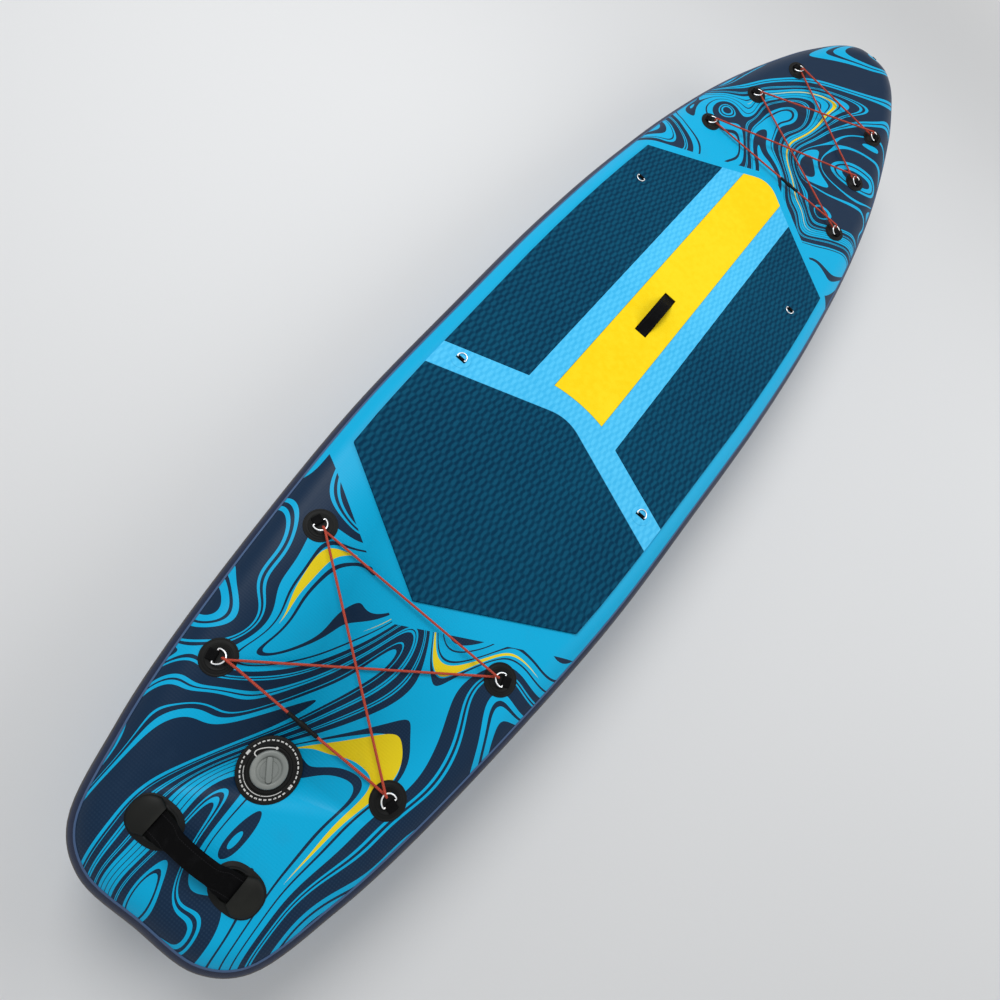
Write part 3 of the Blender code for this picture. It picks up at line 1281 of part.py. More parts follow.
def build():
    add_hull()
    add_core()
    pads = add_deck_pad()
    add_carry_handle(pads["stripe"])
    add_tail_handle()
    add_valve()
    spots = ring_spots()
    headings = loop_headings(TAIL_LOOP, spots)
    headings.update(loop_headings(NOSE_LOOP, spots))
    bows = add_bungee_rings(spots, headings)
    add_bungee("tail", TAIL_LOOP, TAIL_LEAVES, bows, TAIL_JOINER_OFFSET)
    add_bungee("nose", NOSE_LOOP, NOSE_LEAVES, bows, NOSE_JOINER_OFFSET)
    add_pad_rings(pads)
    add_tow_ring()
    add_center_fin()
    add_side_fins()
    stand_on_fins()
    parts = [obj for obj in PARTS.objects if obj.type != "EMPTY" and not obj.hide_render]
    print(f"{len(parts)} pieces")


build()
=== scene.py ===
# %% [markdown]
# # An inflatable stand-up paddle board
# The board is 3.2 m of drop-stitch fabric: a printed deck, a rail taped all round, a foam deck pad, and
# the fittings glued and sewn to it. The packed model already fixes every size and place. Here each piece
# gets its fine shape and its finish.

# %% Load the packed board
import json
import math

import bmesh
import bpy
from mathutils import Matrix, Vector


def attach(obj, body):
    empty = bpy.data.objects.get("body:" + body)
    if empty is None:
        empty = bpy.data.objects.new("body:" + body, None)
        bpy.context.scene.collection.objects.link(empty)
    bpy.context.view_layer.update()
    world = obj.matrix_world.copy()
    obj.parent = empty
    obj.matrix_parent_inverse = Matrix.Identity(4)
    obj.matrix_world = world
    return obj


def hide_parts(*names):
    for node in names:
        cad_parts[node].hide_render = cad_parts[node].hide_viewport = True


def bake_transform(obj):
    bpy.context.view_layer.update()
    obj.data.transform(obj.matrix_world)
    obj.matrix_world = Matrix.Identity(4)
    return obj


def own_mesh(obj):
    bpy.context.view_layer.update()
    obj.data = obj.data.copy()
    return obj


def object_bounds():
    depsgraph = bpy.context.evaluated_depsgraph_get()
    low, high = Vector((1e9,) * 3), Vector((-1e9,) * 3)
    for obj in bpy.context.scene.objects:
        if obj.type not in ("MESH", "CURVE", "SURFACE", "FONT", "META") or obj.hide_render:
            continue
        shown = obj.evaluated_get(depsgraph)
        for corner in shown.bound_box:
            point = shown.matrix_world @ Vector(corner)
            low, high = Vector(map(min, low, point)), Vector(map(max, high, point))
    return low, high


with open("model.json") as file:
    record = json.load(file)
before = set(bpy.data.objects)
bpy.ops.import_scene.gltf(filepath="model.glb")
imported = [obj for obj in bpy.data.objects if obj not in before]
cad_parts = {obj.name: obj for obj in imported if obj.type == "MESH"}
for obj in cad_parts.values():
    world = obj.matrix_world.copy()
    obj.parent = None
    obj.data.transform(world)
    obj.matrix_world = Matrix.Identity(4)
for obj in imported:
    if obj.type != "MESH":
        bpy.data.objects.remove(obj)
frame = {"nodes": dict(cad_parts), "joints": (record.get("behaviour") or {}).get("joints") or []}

cad_low, cad_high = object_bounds()
print("CAD box", [round(v, 4) for v in cad_low], [round(v, 4) for v in cad_high])

# %% [markdown]
# Sizes on the board are counted from the middle of its flat underside. The packed board stands on its
# fins, with the middle of its whole length over the origin, so everything made here is moved by `STAND`
# at the end.

# %% Where the board stands
FIN_DEPTH = 0.125
NOSE_OVERREACH = 0.00292
STAND = Vector((0.0, -NOSE_OVERREACH / 2, FIN_DEPTH))
JOINTS = {joint["name"]: joint for joint in frame["joints"]}

# %% [markdown]
# ## The camera
# The photograph was taken from above the tail, looking forwards and down, with the camera rolled so that
# the board runs from the lower left to the upper right. The lens and the place were worked out from the
# pad's corners, the rings and the outline. The picture is square, so one focal length sets both
# directions.

# %% Camera
LENS_MM = 23.4
SENSOR_MM = 36.0
CAMERA_PLACE = Vector((-0.0320, -1.2209, 1.4564))
CAMERA_FORWARD = Vector((0.02420, 0.42939, -0.90279))
CAMERA_RIGHT = Vector((0.75517, 0.58390, 0.29796))


def camera_matrix():
    """The camera looks along its own -Z, with its +X to the picture's right."""
    back = -CAMERA_FORWARD.normalized()
    right = (CAMERA_RIGHT - back * CAMERA_RIGHT.dot(back)).normalized()
    turned = Matrix((right, back.cross(right), back)).transposed()
    return Matrix.Translation(CAMERA_PLACE + STAND) @ turned.to_4x4()


camera_data = bpy.data.cameras.new("camera")
camera_data.lens = LENS_MM
camera_data.sensor_width = SENSOR_MM
camera = bpy.data.objects.new("camera", camera_data)
camera.matrix_world = camera_matrix()
bpy.context.scene.collection.objects.link(camera)
bpy.context.scene.camera = camera
print("camera", [round(v, 3) for v in camera.location])

# %% [markdown]
# ## Writing a finish
# A material is a graph of nodes. Placing the nodes one by one hides the idea, so a socket is wrapped in
# a small class that can be added, multiplied and compared, and `Finish.node` adds any other node. What
# changes over a surface goes to colour, roughness, metallic and normal only.

# %% A socket as a number


class Wire:
    """One output of a node, which can be used in sums as a number is."""

    def __init__(self, finish, socket):
        self.finish = finish
        self.socket = socket

    def other(self, output):
        """Another output of the same node."""
        return Wire(self.finish, self.socket.node.outputs[output])

    def __add__(self, value):
        return self.finish.math("ADD", self, value)

    def __sub__(self, value):
        return self.finish.math("SUBTRACT", self, value)

    def __rsub__(self, value):
        return self.finish.math("SUBTRACT", value, self)

    def __mul__(self, value):
        return self.finish.math("MULTIPLY", self, value)

    def __pow__(self, value):
        return self.finish.math("POWER", self, value)

    def __gt__(self, value):
        return self.finish.math("GREATER_THAN", self, value)

    def __lt__(self, value):
        return self.finish.math("LESS_THAN", self, value)

    __radd__ = __add__
    __rmul__ = __mul__


print("operators", sorted(name for name in vars(Wire) if name.startswith("__r")), "work from both sides")

# %% [markdown]
# A finish is a material while it is being written. One method adds any node, and the others name what is
# used often, such as noise or a wave. Every pattern starts from the object's own coordinates, counted
# from the middle of the board's flat underside, so it lies the same on each piece.

# %% Finish


class Finish:
    """A procedural material while it is being written."""

    def __init__(self, name, roughness=0.5, **constants):
        self.material = bpy.data.materials.new(name)
        self.material.use_nodes = True
        self.tree = self.material.node_tree
        self.shader = self.tree.nodes["Principled BSDF"]
        self.shader.inputs["Roughness"].default_value = roughness
        for socket, value in constants.items():
            self.shader.inputs[socket.replace("_", " ")].default_value = value
        standing = self.node("ShaderNodeTexCoord", output="Object")
        self.place = self.vector("SUBTRACT", standing, STAND)
        self.x, self.y, self.z = self.parts(self.place)

    def node(self, kind, settings=None, values=None, output=0):
        """Adds a node: its settings first, then the values or wires of its sockets."""
        made = self.tree.nodes.new(kind)
        for name, value in (settings or {}).items():
            if name == "stops":
                self.set_stops(made.color_ramp, value)
            elif name == "interpolation":
                made.color_ramp.interpolation = value
            else:
                setattr(made, name, value)
        for name, value in (values or {}).items():
            self.feed(made.inputs[name], value)
        return Wire(self, made.outputs[output])

    def feed(self, socket, value):
        if isinstance(value, Wire):
            self.tree.links.new(value.socket, socket)
        else:
            socket.default_value = value

    @staticmethod
    def set_stops(ramp, stops):
        while len(ramp.elements) < len(stops):
            ramp.elements.new(1.0)
        for element, (position, shade) in zip(ramp.elements, stops):
            element.position = position
            element.color = shade

    def math(self, operation, *values):
        return self.node("ShaderNodeMath", {"operation": operation}, dict(enumerate(values)))

    def vector(self, operation, *values):
        return self.node("ShaderNodeVectorMath", {"operation": operation}, dict(enumerate(values)))

    def parts(self, vector):
        """The X, Y and Z of a vector."""
        x = self.node("ShaderNodeSeparateXYZ", values={0: vector})
        return x, x.other("Y"), x.other("Z")

    def mix(self, share, first, second):
        return self.node("ShaderNodeMix", {"data_type": "RGBA"}, {0: share, 6: first, 7: second}, 2)

    def noise(self, scale, detail=0.0, place=None):
        values = {"Vector": place or self.place, "Scale": scale, "Detail": detail}
        return self.node("ShaderNodeTexNoise", None, values)

    def wave(self, along, pitch, kind="SINE"):
        """A wave between -1 and 1 that repeats at this pitch."""
        return self.math(kind, along * (math.tau / pitch))

    def weave(self, across, pitch):
        """Crossing yarns: a wave across the board times one along it."""
        return self.wave(across, pitch) * self.wave(self.y, pitch)

    def ramp(self, value, low, high):
        """0 below low, 1 above high and smooth between them."""
        settings = {"interpolation_type": "SMOOTHSTEP"}
        return self.node("ShaderNodeMapRange", settings, {0: value, 1: low, 2: high})

    def absolute(self, value):
        return self.math("ABSOLUTE", value)

    def colour(self, value):
        self.feed(self.shader.inputs["Base Color"], value)

    def rough(self, value):
        self.feed(self.shader.inputs["Roughness"], value)

    def relief(self, height_mm):
        """Bumps of this height in millimetres."""
        values = {"Height": height_mm, "Distance": 0.001, "Strength": 1.0}
        self.feed(self.shader.inputs["Normal"], self.node("ShaderNodeBump", None, values))


def paint(red, green, blue):
    """A screen colour of 0 to 255 as the linear colour that a socket takes."""
    linear = []
    for level in (red / 255, green / 255, blue / 255):
        linear.append(level / 12.92 if level <= 0.04045 else ((level + 0.055) / 1.055) ** 2.4)
    return (*linear, 1.0)


def distance(x, y):
    """How far a place is from the middle, from its two wires."""
    return (x * x + y * y) ** 0.5


print("half red in linear light", round(paint(128, 0, 0)[0], 3))

# %% [markdown]
# ## The stage
# The board stands on its fins, so a plain pale floor lies at their tips. In a studio the backdrop curves
# up behind the object, so that no edge shows. Such a sheet could be modelled, but a flat floor that
# passes into the sky's brightness far from the board hides the edge from every side.

# %% Floor
SKY_SEEN = 0.86
FLOOR_HALF = 14.0
FLOOR_GAP = 0.0005
FADE_NEAR = 2.6
FADE_FAR = 6.0


def seen_directly(tree):
    """A socket that is 1 for what the camera, mirrors or clear glass show, and 0 for other light."""
    path = tree.nodes.new("ShaderNodeLightPath")
    seen = path.outputs["Is Camera Ray"]
    for kind in ("Is Glossy Ray", "Is Transmission Ray"):
        either = tree.nodes.new("ShaderNodeMath")
        either.operation = "MAXIMUM"
        tree.links.new(seen, either.inputs[0])
        tree.links.new(path.outputs[kind], either.inputs[1])
        seen = either.outputs[0]
    return seen


def fade_to_sky(finish):
    """Far from the board the floor passes into the sky's brightness, so that no horizon shows."""
    away = distance(finish.x, finish.y)
    share = finish.ramp(away, FADE_NEAR, FADE_FAR) * Wire(finish, seen_directly(finish.tree))
    glow = finish.tree.nodes.new("ShaderNodeEmission")
    glow.inputs["Strength"].default_value = SKY_SEEN
    mixed = finish.tree.nodes.new("ShaderNodeMixShader")
    finish.feed(mixed.inputs[0], share)
    finish.tree.links.new(finish.shader.outputs[0], mixed.inputs[1])
    finish.tree.links.new(glow.outputs[0], mixed.inputs[2])
    finish.tree.links.new(mixed.outputs[0], finish.tree.nodes["Material Output"].inputs["Surface"])
    finish.material.cycles.emission_sampling = "NONE"


def make_floor(level):
    bm = bmesh.new()
    bmesh.ops.create_grid(bm, x_segments=1, y_segments=1, size=FLOOR_HALF)
    bmesh.ops.translate(bm, verts=bm.verts, vec=(0, 0, level))
    mesh = bpy.data.meshes.new("floor")
    bm.to_mesh(mesh)
    bm.free()
    finish = Finish("studio_floor", roughness=0.85)
    cloud = finish.noise(0.35, 2.0)
    finish.colour(finish.mix(cloud, paint(224, 226, 228), paint(232, 233, 234)))
    finish.relief(finish.noise(180.0, 2.0) * 0.10)
    fade_to_sky(finish)
    mesh.materials.append(finish.material)
    floor = bpy.data.objects.new("floor", mesh)
    bpy.context.scene.collection.objects.link(floor)


make_floor(cad_low.z - FLOOR_GAP)
print("floor at", round(cad_low.z, 3))

# %% [markdown]
# The sky is a white world, which lights the rail from all round as no lamp does. It is brighter to the
# camera and in mirrors than it is as a light. So the background stays pale, while colours keep the value
# that they are written with.

# %% Sky
SKY_LIGHT = 0.42


def make_sky():
    world = bpy.data.worlds.new("studio_sky")
    world.use_nodes = True
    bpy.context.scene.world = world
    tree = world.node_tree
    background = tree.nodes["Background"]
    background.inputs["Color"].default_value = (1.0, 1.0, 1.0, 1.0)
    strength = tree.nodes.new("ShaderNodeMapRange")
    strength.inputs["To Min"].default_value = SKY_LIGHT
    strength.inputs["To Max"].default_value = SKY_SEEN
    tree.links.new(seen_directly(tree), strength.inputs["Value"])
    tree.links.new(strength.outputs[0], background.inputs["Strength"])


make_sky()
bpy.context.scene.view_settings.view_transform = "Standard"
print("sky lights with", SKY_LIGHT, "and shows as", SKY_SEEN)

# %% [markdown]
# Two large round lamps give the light its direction: the key lamp from high on the left, and a weaker
# one from the right and ahead. Large lamps keep the shadows soft, as on an overcast day.

# %% Lamps


def make_lamp(name, place, aim, size, watts):
    data = bpy.data.lights.new(name, "AREA")
    data.shape = "DISK"
    data.size = size
    data.energy = watts
    lamp = bpy.data.objects.new(name, data)
    lamp.location = place
    lamp.rotation_mode = "QUATERNION"
    lamp.rotation_quaternion = (Vector(aim) - Vector(place)).to_track_quat("-Z", "Y")
    bpy.context.scene.collection.objects.link(lamp)


make_lamp("key_lamp", place=(-1.7, 0.3, 3.5), aim=(0.0, -0.2, 0.2), size=2.2, watts=78)
make_lamp("side_lamp", place=(3.0, 1.6, 2.7), aim=(0.0, 0.2, 0.2), size=2.6, watts=42)
print("lamps", len(bpy.data.lights))

# %% [markdown]
# ## The board's surface
# A drop-stitch board is two flat sheets joined by a half-round rail, bent up towards the nose. So its
# shape is a plan outline, a rail radius and a rocker curve. The outline is a smooth curve through a few
# widths, drawn finer here than in the packed solid. Everything that lies on the deck asks `deck_frame`
# where it is.

# %% Outline, rail and rocker
DECK = 0.150
RAIL_RADIUS = DECK / 2
SEAM_ANGLE = 55.0
NOSE_RISE = 0.152
ROCKER_LENGTH = 1.050
ROCKER_POWER = 2.1
HALF_LENGTH = 1.600
HALF_WIDTH = 0.422
OUTLINE_STEPS = 8
OUTLINE = (
    (0.0000, 0.000), (0.0016, 0.303), (0.0163, 0.479), (0.0628, 0.616), (0.1088, 0.704), (0.1984, 0.820),
    (0.3031, 0.919), (0.4225, 0.967), (0.5422, 1.000), (0.6619, 0.988), (0.7666, 0.924), (0.8563, 0.787),
    (0.9309, 0.573), (0.9594, 0.450), (0.9844, 0.303), (0.9975, 0.152), (1.0000, 0.000),
)


def between(p0, p1, p2, p3, share):
    """A point between p1 and p2 of a centripetal Catmull-Rom curve."""
    t1 = math.sqrt((p1 - p0).length)
    t2 = t1 + math.sqrt((p2 - p1).length)
    t3 = t2 + math.sqrt((p3 - p2).length)
    t = t1 + (t2 - t1) * share
    a1 = p0.lerp(p1, t / t1)
    a2 = p1.lerp(p2, (t - t1) / (t2 - t1))
    a3 = p2.lerp(p3, (t - t2) / (t3 - t2))
    return a1.lerp(a2, t / t2).lerp(a2.lerp(a3, (t - t1) / (t3 - t1)), (t - t1) / (t2 - t1))


def smooth_through(points, steps):
    """A smooth curve from the second point to the last but one, with this many steps between each two."""
    curve = []
    for i in range(1, len(points) - 2):
        curve += [between(*points[i - 1 : i + 3], step / steps) for step in range(steps)]
    return curve + [points[-2]]


def smooth_path(points, steps, closed=False):
    """A smooth curve through all the points, open or closed."""
    if closed:
        return smooth_through([points[-1], *points, points[0], points[1]], steps)
    return smooth_through([points[0] * 2 - points[1], *points, points[-1] * 2 - points[-2]], steps)


def half_plan():
    """The right half of the outline, from the middle of the tail to the tip of the nose."""
    right = [Vector((half * HALF_WIDTH, (2 * share - 1) * HALF_LENGTH)) for share, half in OUTLINE]
    before, after = (Vector((-point.x, point.y)) for point in (right[1], right[-2]))
    return smooth_through([before, *right, after], OUTLINE_STEPS)


HALF_PLAN = half_plan()


def plan_loop(inset=0.0):
    """The closed outline, counter-clockwise, moved inwards by the inset."""
    loop = HALF_PLAN + [Vector((-p.x, p.y)) for p in reversed(HALF_PLAN[1:-1])]
    moved = []
    for i, point in enumerate(loop):
        tangent = (loop[(i + 1) % len(loop)] - loop[i - 1]).normalized()
        moved.append(point + Vector((-tangent.y, tangent.x)) * inset)
    return moved


def half_width(y):
    for low, high in zip(HALF_PLAN, HALF_PLAN[1:]):
        if low.y <= y <= high.y and high.y > low.y:
            return low.x + (high.x - low.x) * (y - low.y) / (high.y - low.y)
    return 0.0


def rocker_share(y):
    """0 where the rocker starts and before it, 1 at the nose."""
    return max(0.0, (y - HALF_LENGTH + ROCKER_LENGTH) / ROCKER_LENGTH)


def lift(y):
    """How far the rocker lifts the board at y."""
    return NOSE_RISE * rocker_share(y) ** ROCKER_POWER


def lift_slope(y):
    return NOSE_RISE * ROCKER_POWER * rocker_share(y) ** (ROCKER_POWER - 1) / ROCKER_LENGTH


def deck_frame(x, y, height=0.0):
    """A frame on the deck at (x, y), or this far above it: +Z is the deck's normal, +X points right."""
    tilt = Matrix.Rotation(math.atan(lift_slope(y)), 4, "X")
    return Matrix.Translation((x, y, DECK + lift(y))) @ tilt @ Matrix.Translation((0, 0, height))


print("outline points", len(plan_loop()), "widest", round(2 * max(p.x for p in HALF_PLAN), 3))

# %% [markdown]
# ## Making a piece
# Every new piece ends the same way: its mesh is shaded, takes its finish, rides on a body and stands for
# the packed solids that it dresses. A wall or a rounded edge can still be added as a modifier, which
# leaves the mesh below it simple.

# %% Piece


def piece(name, bm, finish, body="hull", stands_for=(), smooth=40.0):
    bmesh.ops.translate(bm, verts=bm.verts, vec=STAND)
    mesh = bpy.data.meshes.new(name)
    bm.to_mesh(mesh)
    bm.free()
    mesh.materials.append(finish.material)
    mesh.shade_smooth()
    mesh.set_sharp_from_angle(angle=math.radians(smooth))
    obj = bpy.data.objects.new(name, mesh)
    bpy.context.scene.collection.objects.link(obj)
    if body:
        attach(obj, body)
    if stands_for:
        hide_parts(*stands_for)
    return obj


def add_wall(obj, thickness, side=-1.0):
    """Gives a sheet its thickness, inwards or (with side 1) outwards."""
    wall = obj.modifiers.new("wall", "SOLIDIFY")
    wall.thickness = thickness
    wall.offset = side
    return wall


def round_edges(obj, width, segments, angle=30.0):
    """Rounds the edges of a finished piece that are sharper than the angle."""
    rounding = obj.modifiers.new("edge", "BEVEL")
    rounding.width = width
    rounding.segments = segments
    rounding.limit_method = "ANGLE"
    rounding.angle_limit = math.radians(angle)
    return rounding


print("packed solids to dress", len(frame["nodes"]))

# %% [markdown]
# No cut or moulded edge is knife sharp, and a rounded one catches the light, so edges are bevelled by
# their angle or from a list. Shapes such as the rail, a boot or a fin are lofted: rings of edges are
# bridged one to the next. The nose bends up, so a long mesh is first cut across into strips and then
# lifted. Without the cuts a long face would stay straight.

# %% Soften, loft, bend and join
ROCKER_CUTS = 0.045
UPRIGHT_RISE = 1e-4

def soften(bm, width, segments=3, angle=40.0, edges=None):
    """Rounds the edges that are sharper than the angle, or those given."""
    sharp = edges
    if sharp is None:
        folds = [edge for edge in bm.edges if len(edge.link_faces) == 2]
        sharp = [edge for edge in folds if edge.calc_face_angle(0.0) > math.radians(angle)]
    bmesh.ops.bevel(
        bm, geom=sharp, offset=width, offset_type="OFFSET", segments=segments,
        profile=0.5, affect="EDGES", clamp_overlap=True, material=-1,
    )


def edge_loop(bm, points):
    """A closed loop of edges through the points."""
    verts = [bm.verts.new(point) for point in points]
    return [bm.edges.new(pair) for pair in zip(verts, verts[1:] + verts[:1])]


def bridge(bm, rings, closed=()):
    """Joins each ring to the next with faces. The rings at the places in closed are filled."""
    for outer, inner in zip(rings, rings[1:]):
        bmesh.ops.bridge_loops(bm, edges=outer + inner)
    for place in closed:
        bmesh.ops.contextual_create(bm, geom=rings[place])


def bend_to_rocker(bm):
    """Cuts the mesh across the rocker and lifts it."""
    steps = math.ceil(ROCKER_LENGTH / ROCKER_CUTS)
    for i in range(steps + 1):
        everything = bm.verts[:] + bm.edges[:] + bm.faces[:]
        cut = (0, HALF_LENGTH - ROCKER_LENGTH + i * ROCKER_CUTS, 0)
        bmesh.ops.bisect_plane(bm, geom=everything, plane_co=cut, plane_no=(0, 1, 0), dist=1e-6)
    for vert in bm.verts:
        vert.co.z += lift(vert.co.y)


def block(size, place=None):
    """A box centred on the place."""
    bm = bmesh.new()
    bmesh.ops.create_cube(bm, size=1, matrix=(place or Matrix()) @ Matrix.Diagonal((*size, 1)))
    return bm


def upright_edges(bm):
    """The edges of a box or a plate that run up its corners."""
    return [edge for edge in bm.edges if abs(edge.verts[0].co.z - edge.verts[1].co.z) > UPRIGHT_RISE]


def join(target, extra):
    """Moves one bmesh into another."""
    mesh = bpy.data.meshes.new("joined")
    extra.to_mesh(mesh)
    extra.free()
    target.from_mesh(mesh)
    bpy.data.meshes.remove(mesh)


print("rocker cut every", ROCKER_CUTS, "m")

# %% [markdown]
# A cord, a wire or a strap is a flat grid rolled round its path. A curve with a bevel gives a tube too,
# but the grid has a UV map in metres along and turns around, so a braid or a weave can follow it. Round
# parts, such as the valve's, are a profile of radius and height that is spun.

# %% Sweep and turn

def carried_frames(path, first_up, closed=False):
    """The direction and a normal at each point of the path, carried along it without twisting."""
    frames = []
    up = Vector(first_up)
    last = len(path) - 1
    for i in range(len(path)):
        before = path[last - 1] if closed and i == 0 else path[max(i - 1, 0)]
        after = path[1] if closed and i == last else path[min(i + 1, last)]
        tangent = (after - before).normalized()
        up = (up - tangent * up.dot(tangent)).normalized()
        frames.append((tangent, up.copy()))
    return frames


def sweep(path, section, first_up, sides=12, closed=False):
    """Rolls a grid round the path. section(around, along) gives the offset sideways and upwards."""
    bm = bmesh.new()
    chart = bm.loops.layers.uv.new("wrap")
    count = len(path) - 1
    bmesh.ops.create_grid(bm, x_segments=sides, y_segments=count, size=0.5, calc_uvs=True)
    frames = carried_frames(path, first_up, closed)
    far = [0.0]
    for before, after in zip(path, path[1:]):
        far.append(far[-1] + (after - before).length)
    for vert in bm.verts:
        around = vert.co.x + 0.5
        row = round((vert.co.y + 0.5) * count)
        for loop in vert.link_loops:
            loop[chart].uv = (around, far[row])
        tangent, up = frames[row]
        sideways, upwards = section(around, row / count)
        vert.co = path[row] + tangent.cross(up) * sideways + up * upwards
    bmesh.ops.remove_doubles(bm, verts=bm.verts, dist=2e-6)
    bmesh.ops.holes_fill(bm, edges=bm.edges, sides=0)
    bmesh.ops.recalc_face_normals(bm, faces=bm.faces)
    return bm


def round_section(radius):
    """The cross-section of a cord or a wire."""
    return lambda around, along: (radius * math.cos(math.tau * around), radius * math.sin(math.tau * around))


def turned(profile, place=None, steps=48):
    """A turned shape from its profile of (radius, height), closed at the axis or as a ring."""
    bm = bmesh.new()
    points = [bm.verts.new((radius, 0, height)) for radius, height in profile]
    pairs = list(zip(points, points[1:]))
    if profile[0][0] > 0:
        pairs.append((points[-1], points[0]))
    spun = points + [bm.edges.new(pair) for pair in pairs]
    bmesh.ops.spin(
        bm, geom=spun, axis=(0, 0, 1), cent=(0, 0, 0), angle=math.tau, steps=steps, use_merge=True
    )
    bmesh.ops.remove_doubles(bm, verts=bm.verts, dist=1e-6)
    bmesh.ops.recalc_face_normals(bm, faces=bm.faces)
    if place is not None:
        bmesh.ops.transform(bm, matrix=place, verts=bm.verts)
    return bm


print("tubes and turned parts can be made")

# %% [markdown]
# ## The printed deck
# The skins are PVC on a woven base cloth, which shows through as a fine weave. The threads that tie deck
# and bottom together pull it in at each stitch, so rows of small dimples run both ways, and the sheet is
# never quite flat. Modelled dimples would take millions of faces, so all of it is relief.

# %% Skin relief
STITCH_PITCH = 0.0052
CLOTH_PITCH = 0.0011
CLOTH_DEPTH_MM = 0.012
DIMPLE_DEPTH_MM = 0.030
WAVE_DEPTH_MM = 1.2


def pvc_relief(finish):
    """Relief for the weave and the rows of stitches. Returns the stitches, from -2 to 2."""
    cloth = finish.weave(finish.x, CLOTH_PITCH)
    rows = finish.wave(finish.x, STITCH_PITCH, "COSINE")
    stitches = rows + finish.wave(finish.y, STITCH_PITCH, "COSINE")
    waves = finish.noise(7.0, 1.0)
    finish.relief(cloth * CLOTH_DEPTH_MM + stitches * DIMPLE_DEPTH_MM + waves * WAVE_DEPTH_MM)
    return stitches


print("stitches every", STITCH_PITCH, "m")

# %% [markdown]
# The deck is printed in cyan and navy as poured paint: broad pools that thin out into bundles of
# parallel lines. A picture could be mapped on it, but a height map does the same and stays sharp close
# up. A slow noise field is warped twice, and its height is coloured in bands of very unequal width, as
# contour lines are. Where the height passes one level near a few places, a yellow streak follows it.
# Around the pad the print stays plain. On the navy, the rows of stitches are painted paler in slow patches,
# as a painted sheen.

# %% Deck print
CYAN = paint(0, 176, 226)
NAVY = paint(8, 38, 65)
# The paler navy of the painted sheen on the stitch rows.
NAVY_PAINTED_SHEEN = paint(38, 62, 88)
PRINT_YELLOW = paint(240, 216, 30)
PAD_REAR_APEX = -0.900
PAD_REAR_SLOPE = 0.553
PAD_FRONT_CORNER = Vector((0.330, 0.615))
PAD_FRONT_SLOPE = 0.694
PLAIN_BORDER = 0.052
PLAIN_BORDER_REAR = PLAIN_BORDER * 1.15

BAND_EDGES = (
    0.000, 0.318, 0.338, 0.350, 0.355, 0.386, 0.392, 0.398, 0.404, 0.430, 0.435, 0.440, 0.445, 0.458,
    0.476, 0.479, 0.500, 0.503, 0.521, 0.526, 0.540, 0.560, 0.564, 0.569, 0.574, 0.604, 0.610, 0.615,
    0.638, 0.666, 0.700, 0.706,
)
YELLOW_PLACES = ((0.16, -1.08, 0.20), (-0.22, -0.98, 0.09), (0.02, 1.06, 0.24))
YELLOW_LEVEL = 0.489
YELLOW_WIDTH = 0.011


def warp(finish, place, field, reach):
    """Moves every place by a noise field's colour, which is grey on average, times the reach."""
    off_grey = finish.vector("SUBTRACT", field.other("Color"), (0.5, 0.5, 0.5))
    return finish.vector("ADD", place, finish.vector("MULTIPLY", off_grey, reach))


def printed_finish():
    finish = Finish("printed_deck_pvc", roughness=0.34, Specular_IOR_Level=0.16)
    flow = finish.vector("MULTIPLY", finish.place, (1.22, 0.78, 0.7))
    drift = warp(finish, flow, finish.noise(1.35), (1.7, 1.2, 0.0))
    swirl = warp(finish, drift, finish.noise(3.2, 0.0, drift), (0.46, 0.46, 0.0))
    height = finish.noise(1.55, 0.0, swirl)
    stops = [(edge, (i % 2, i % 2, i % 2, 1.0)) for i, edge in enumerate(BAND_EDGES)]
    cyan_here = finish.node("ShaderNodeValToRGB", {"interpolation": "CONSTANT", "stops": stops}, {0: height})
    stitches = pvc_relief(finish)
    # Painted sheen: in slow patches the stitch rows on the navy are painted paler, as a painted reflection.
    painted_sheen_patches = finish.ramp(finish.noise(2.1, 1.0), 0.46, 0.64)
    sheen = finish.ramp(stitches, -0.4, 1.7) * painted_sheen_patches * 0.40
    navy = finish.mix(sheen, NAVY, NAVY_PAINTED_SHEEN)
    marbled = finish.mix(cyan_here, navy, CYAN)
    zone = -1.0
    for x, y, reach in YELLOW_PLACES:
        away = distance(finish.x - x, (finish.y - y) * 0.6)
        zone = finish.math("MAXIMUM", 1 - away * (1 / reach), zone)
    streak = finish.absolute(height - YELLOW_LEVEL) < zone * YELLOW_WIDTH
    marbled = finish.mix(streak, marbled, PRINT_YELLOW)
    across = finish.absolute(finish.x)
    behind = (finish.y - across * PAD_REAR_SLOPE) < (PAD_REAR_APEX - PLAIN_BORDER_REAR)
    front_line = PAD_FRONT_CORNER.y + PAD_FRONT_SLOPE * PAD_FRONT_CORNER.x
    ahead = (finish.y + across * PAD_FRONT_SLOPE) > (front_line + PLAIN_BORDER)
    printed = finish.mix(finish.math("MAXIMUM", behind, ahead), CYAN, marbled)
    grime = finish.ramp(finish.noise(16.0, 4.0), 0.55, 0.8) * 0.06
    finish.colour(finish.mix(grime, printed, paint(60, 84, 110)))
    finish.rough(0.36 + finish.noise(5.0, 3.0) * 0.12)
    return finish


PRINTED = printed_finish()
print("print of", len(BAND_EDGES) + 1, "bands")

# %% [markdown]
# The rail is one wide band of plain PVC over both seams. Its printed edges run the same way on both
# sides: a thin light line first, then a navy stripe, and a dark grey middle. An attribute holds the
# angle round the rail, so the stripes keep their width from tail to nose.

# %% Rail finish
NAVY_FROM_MIDDLE = 27.5
LINE_FROM_MIDDLE = 43.6
TAPE_CLOTH_PITCH = 0.0013


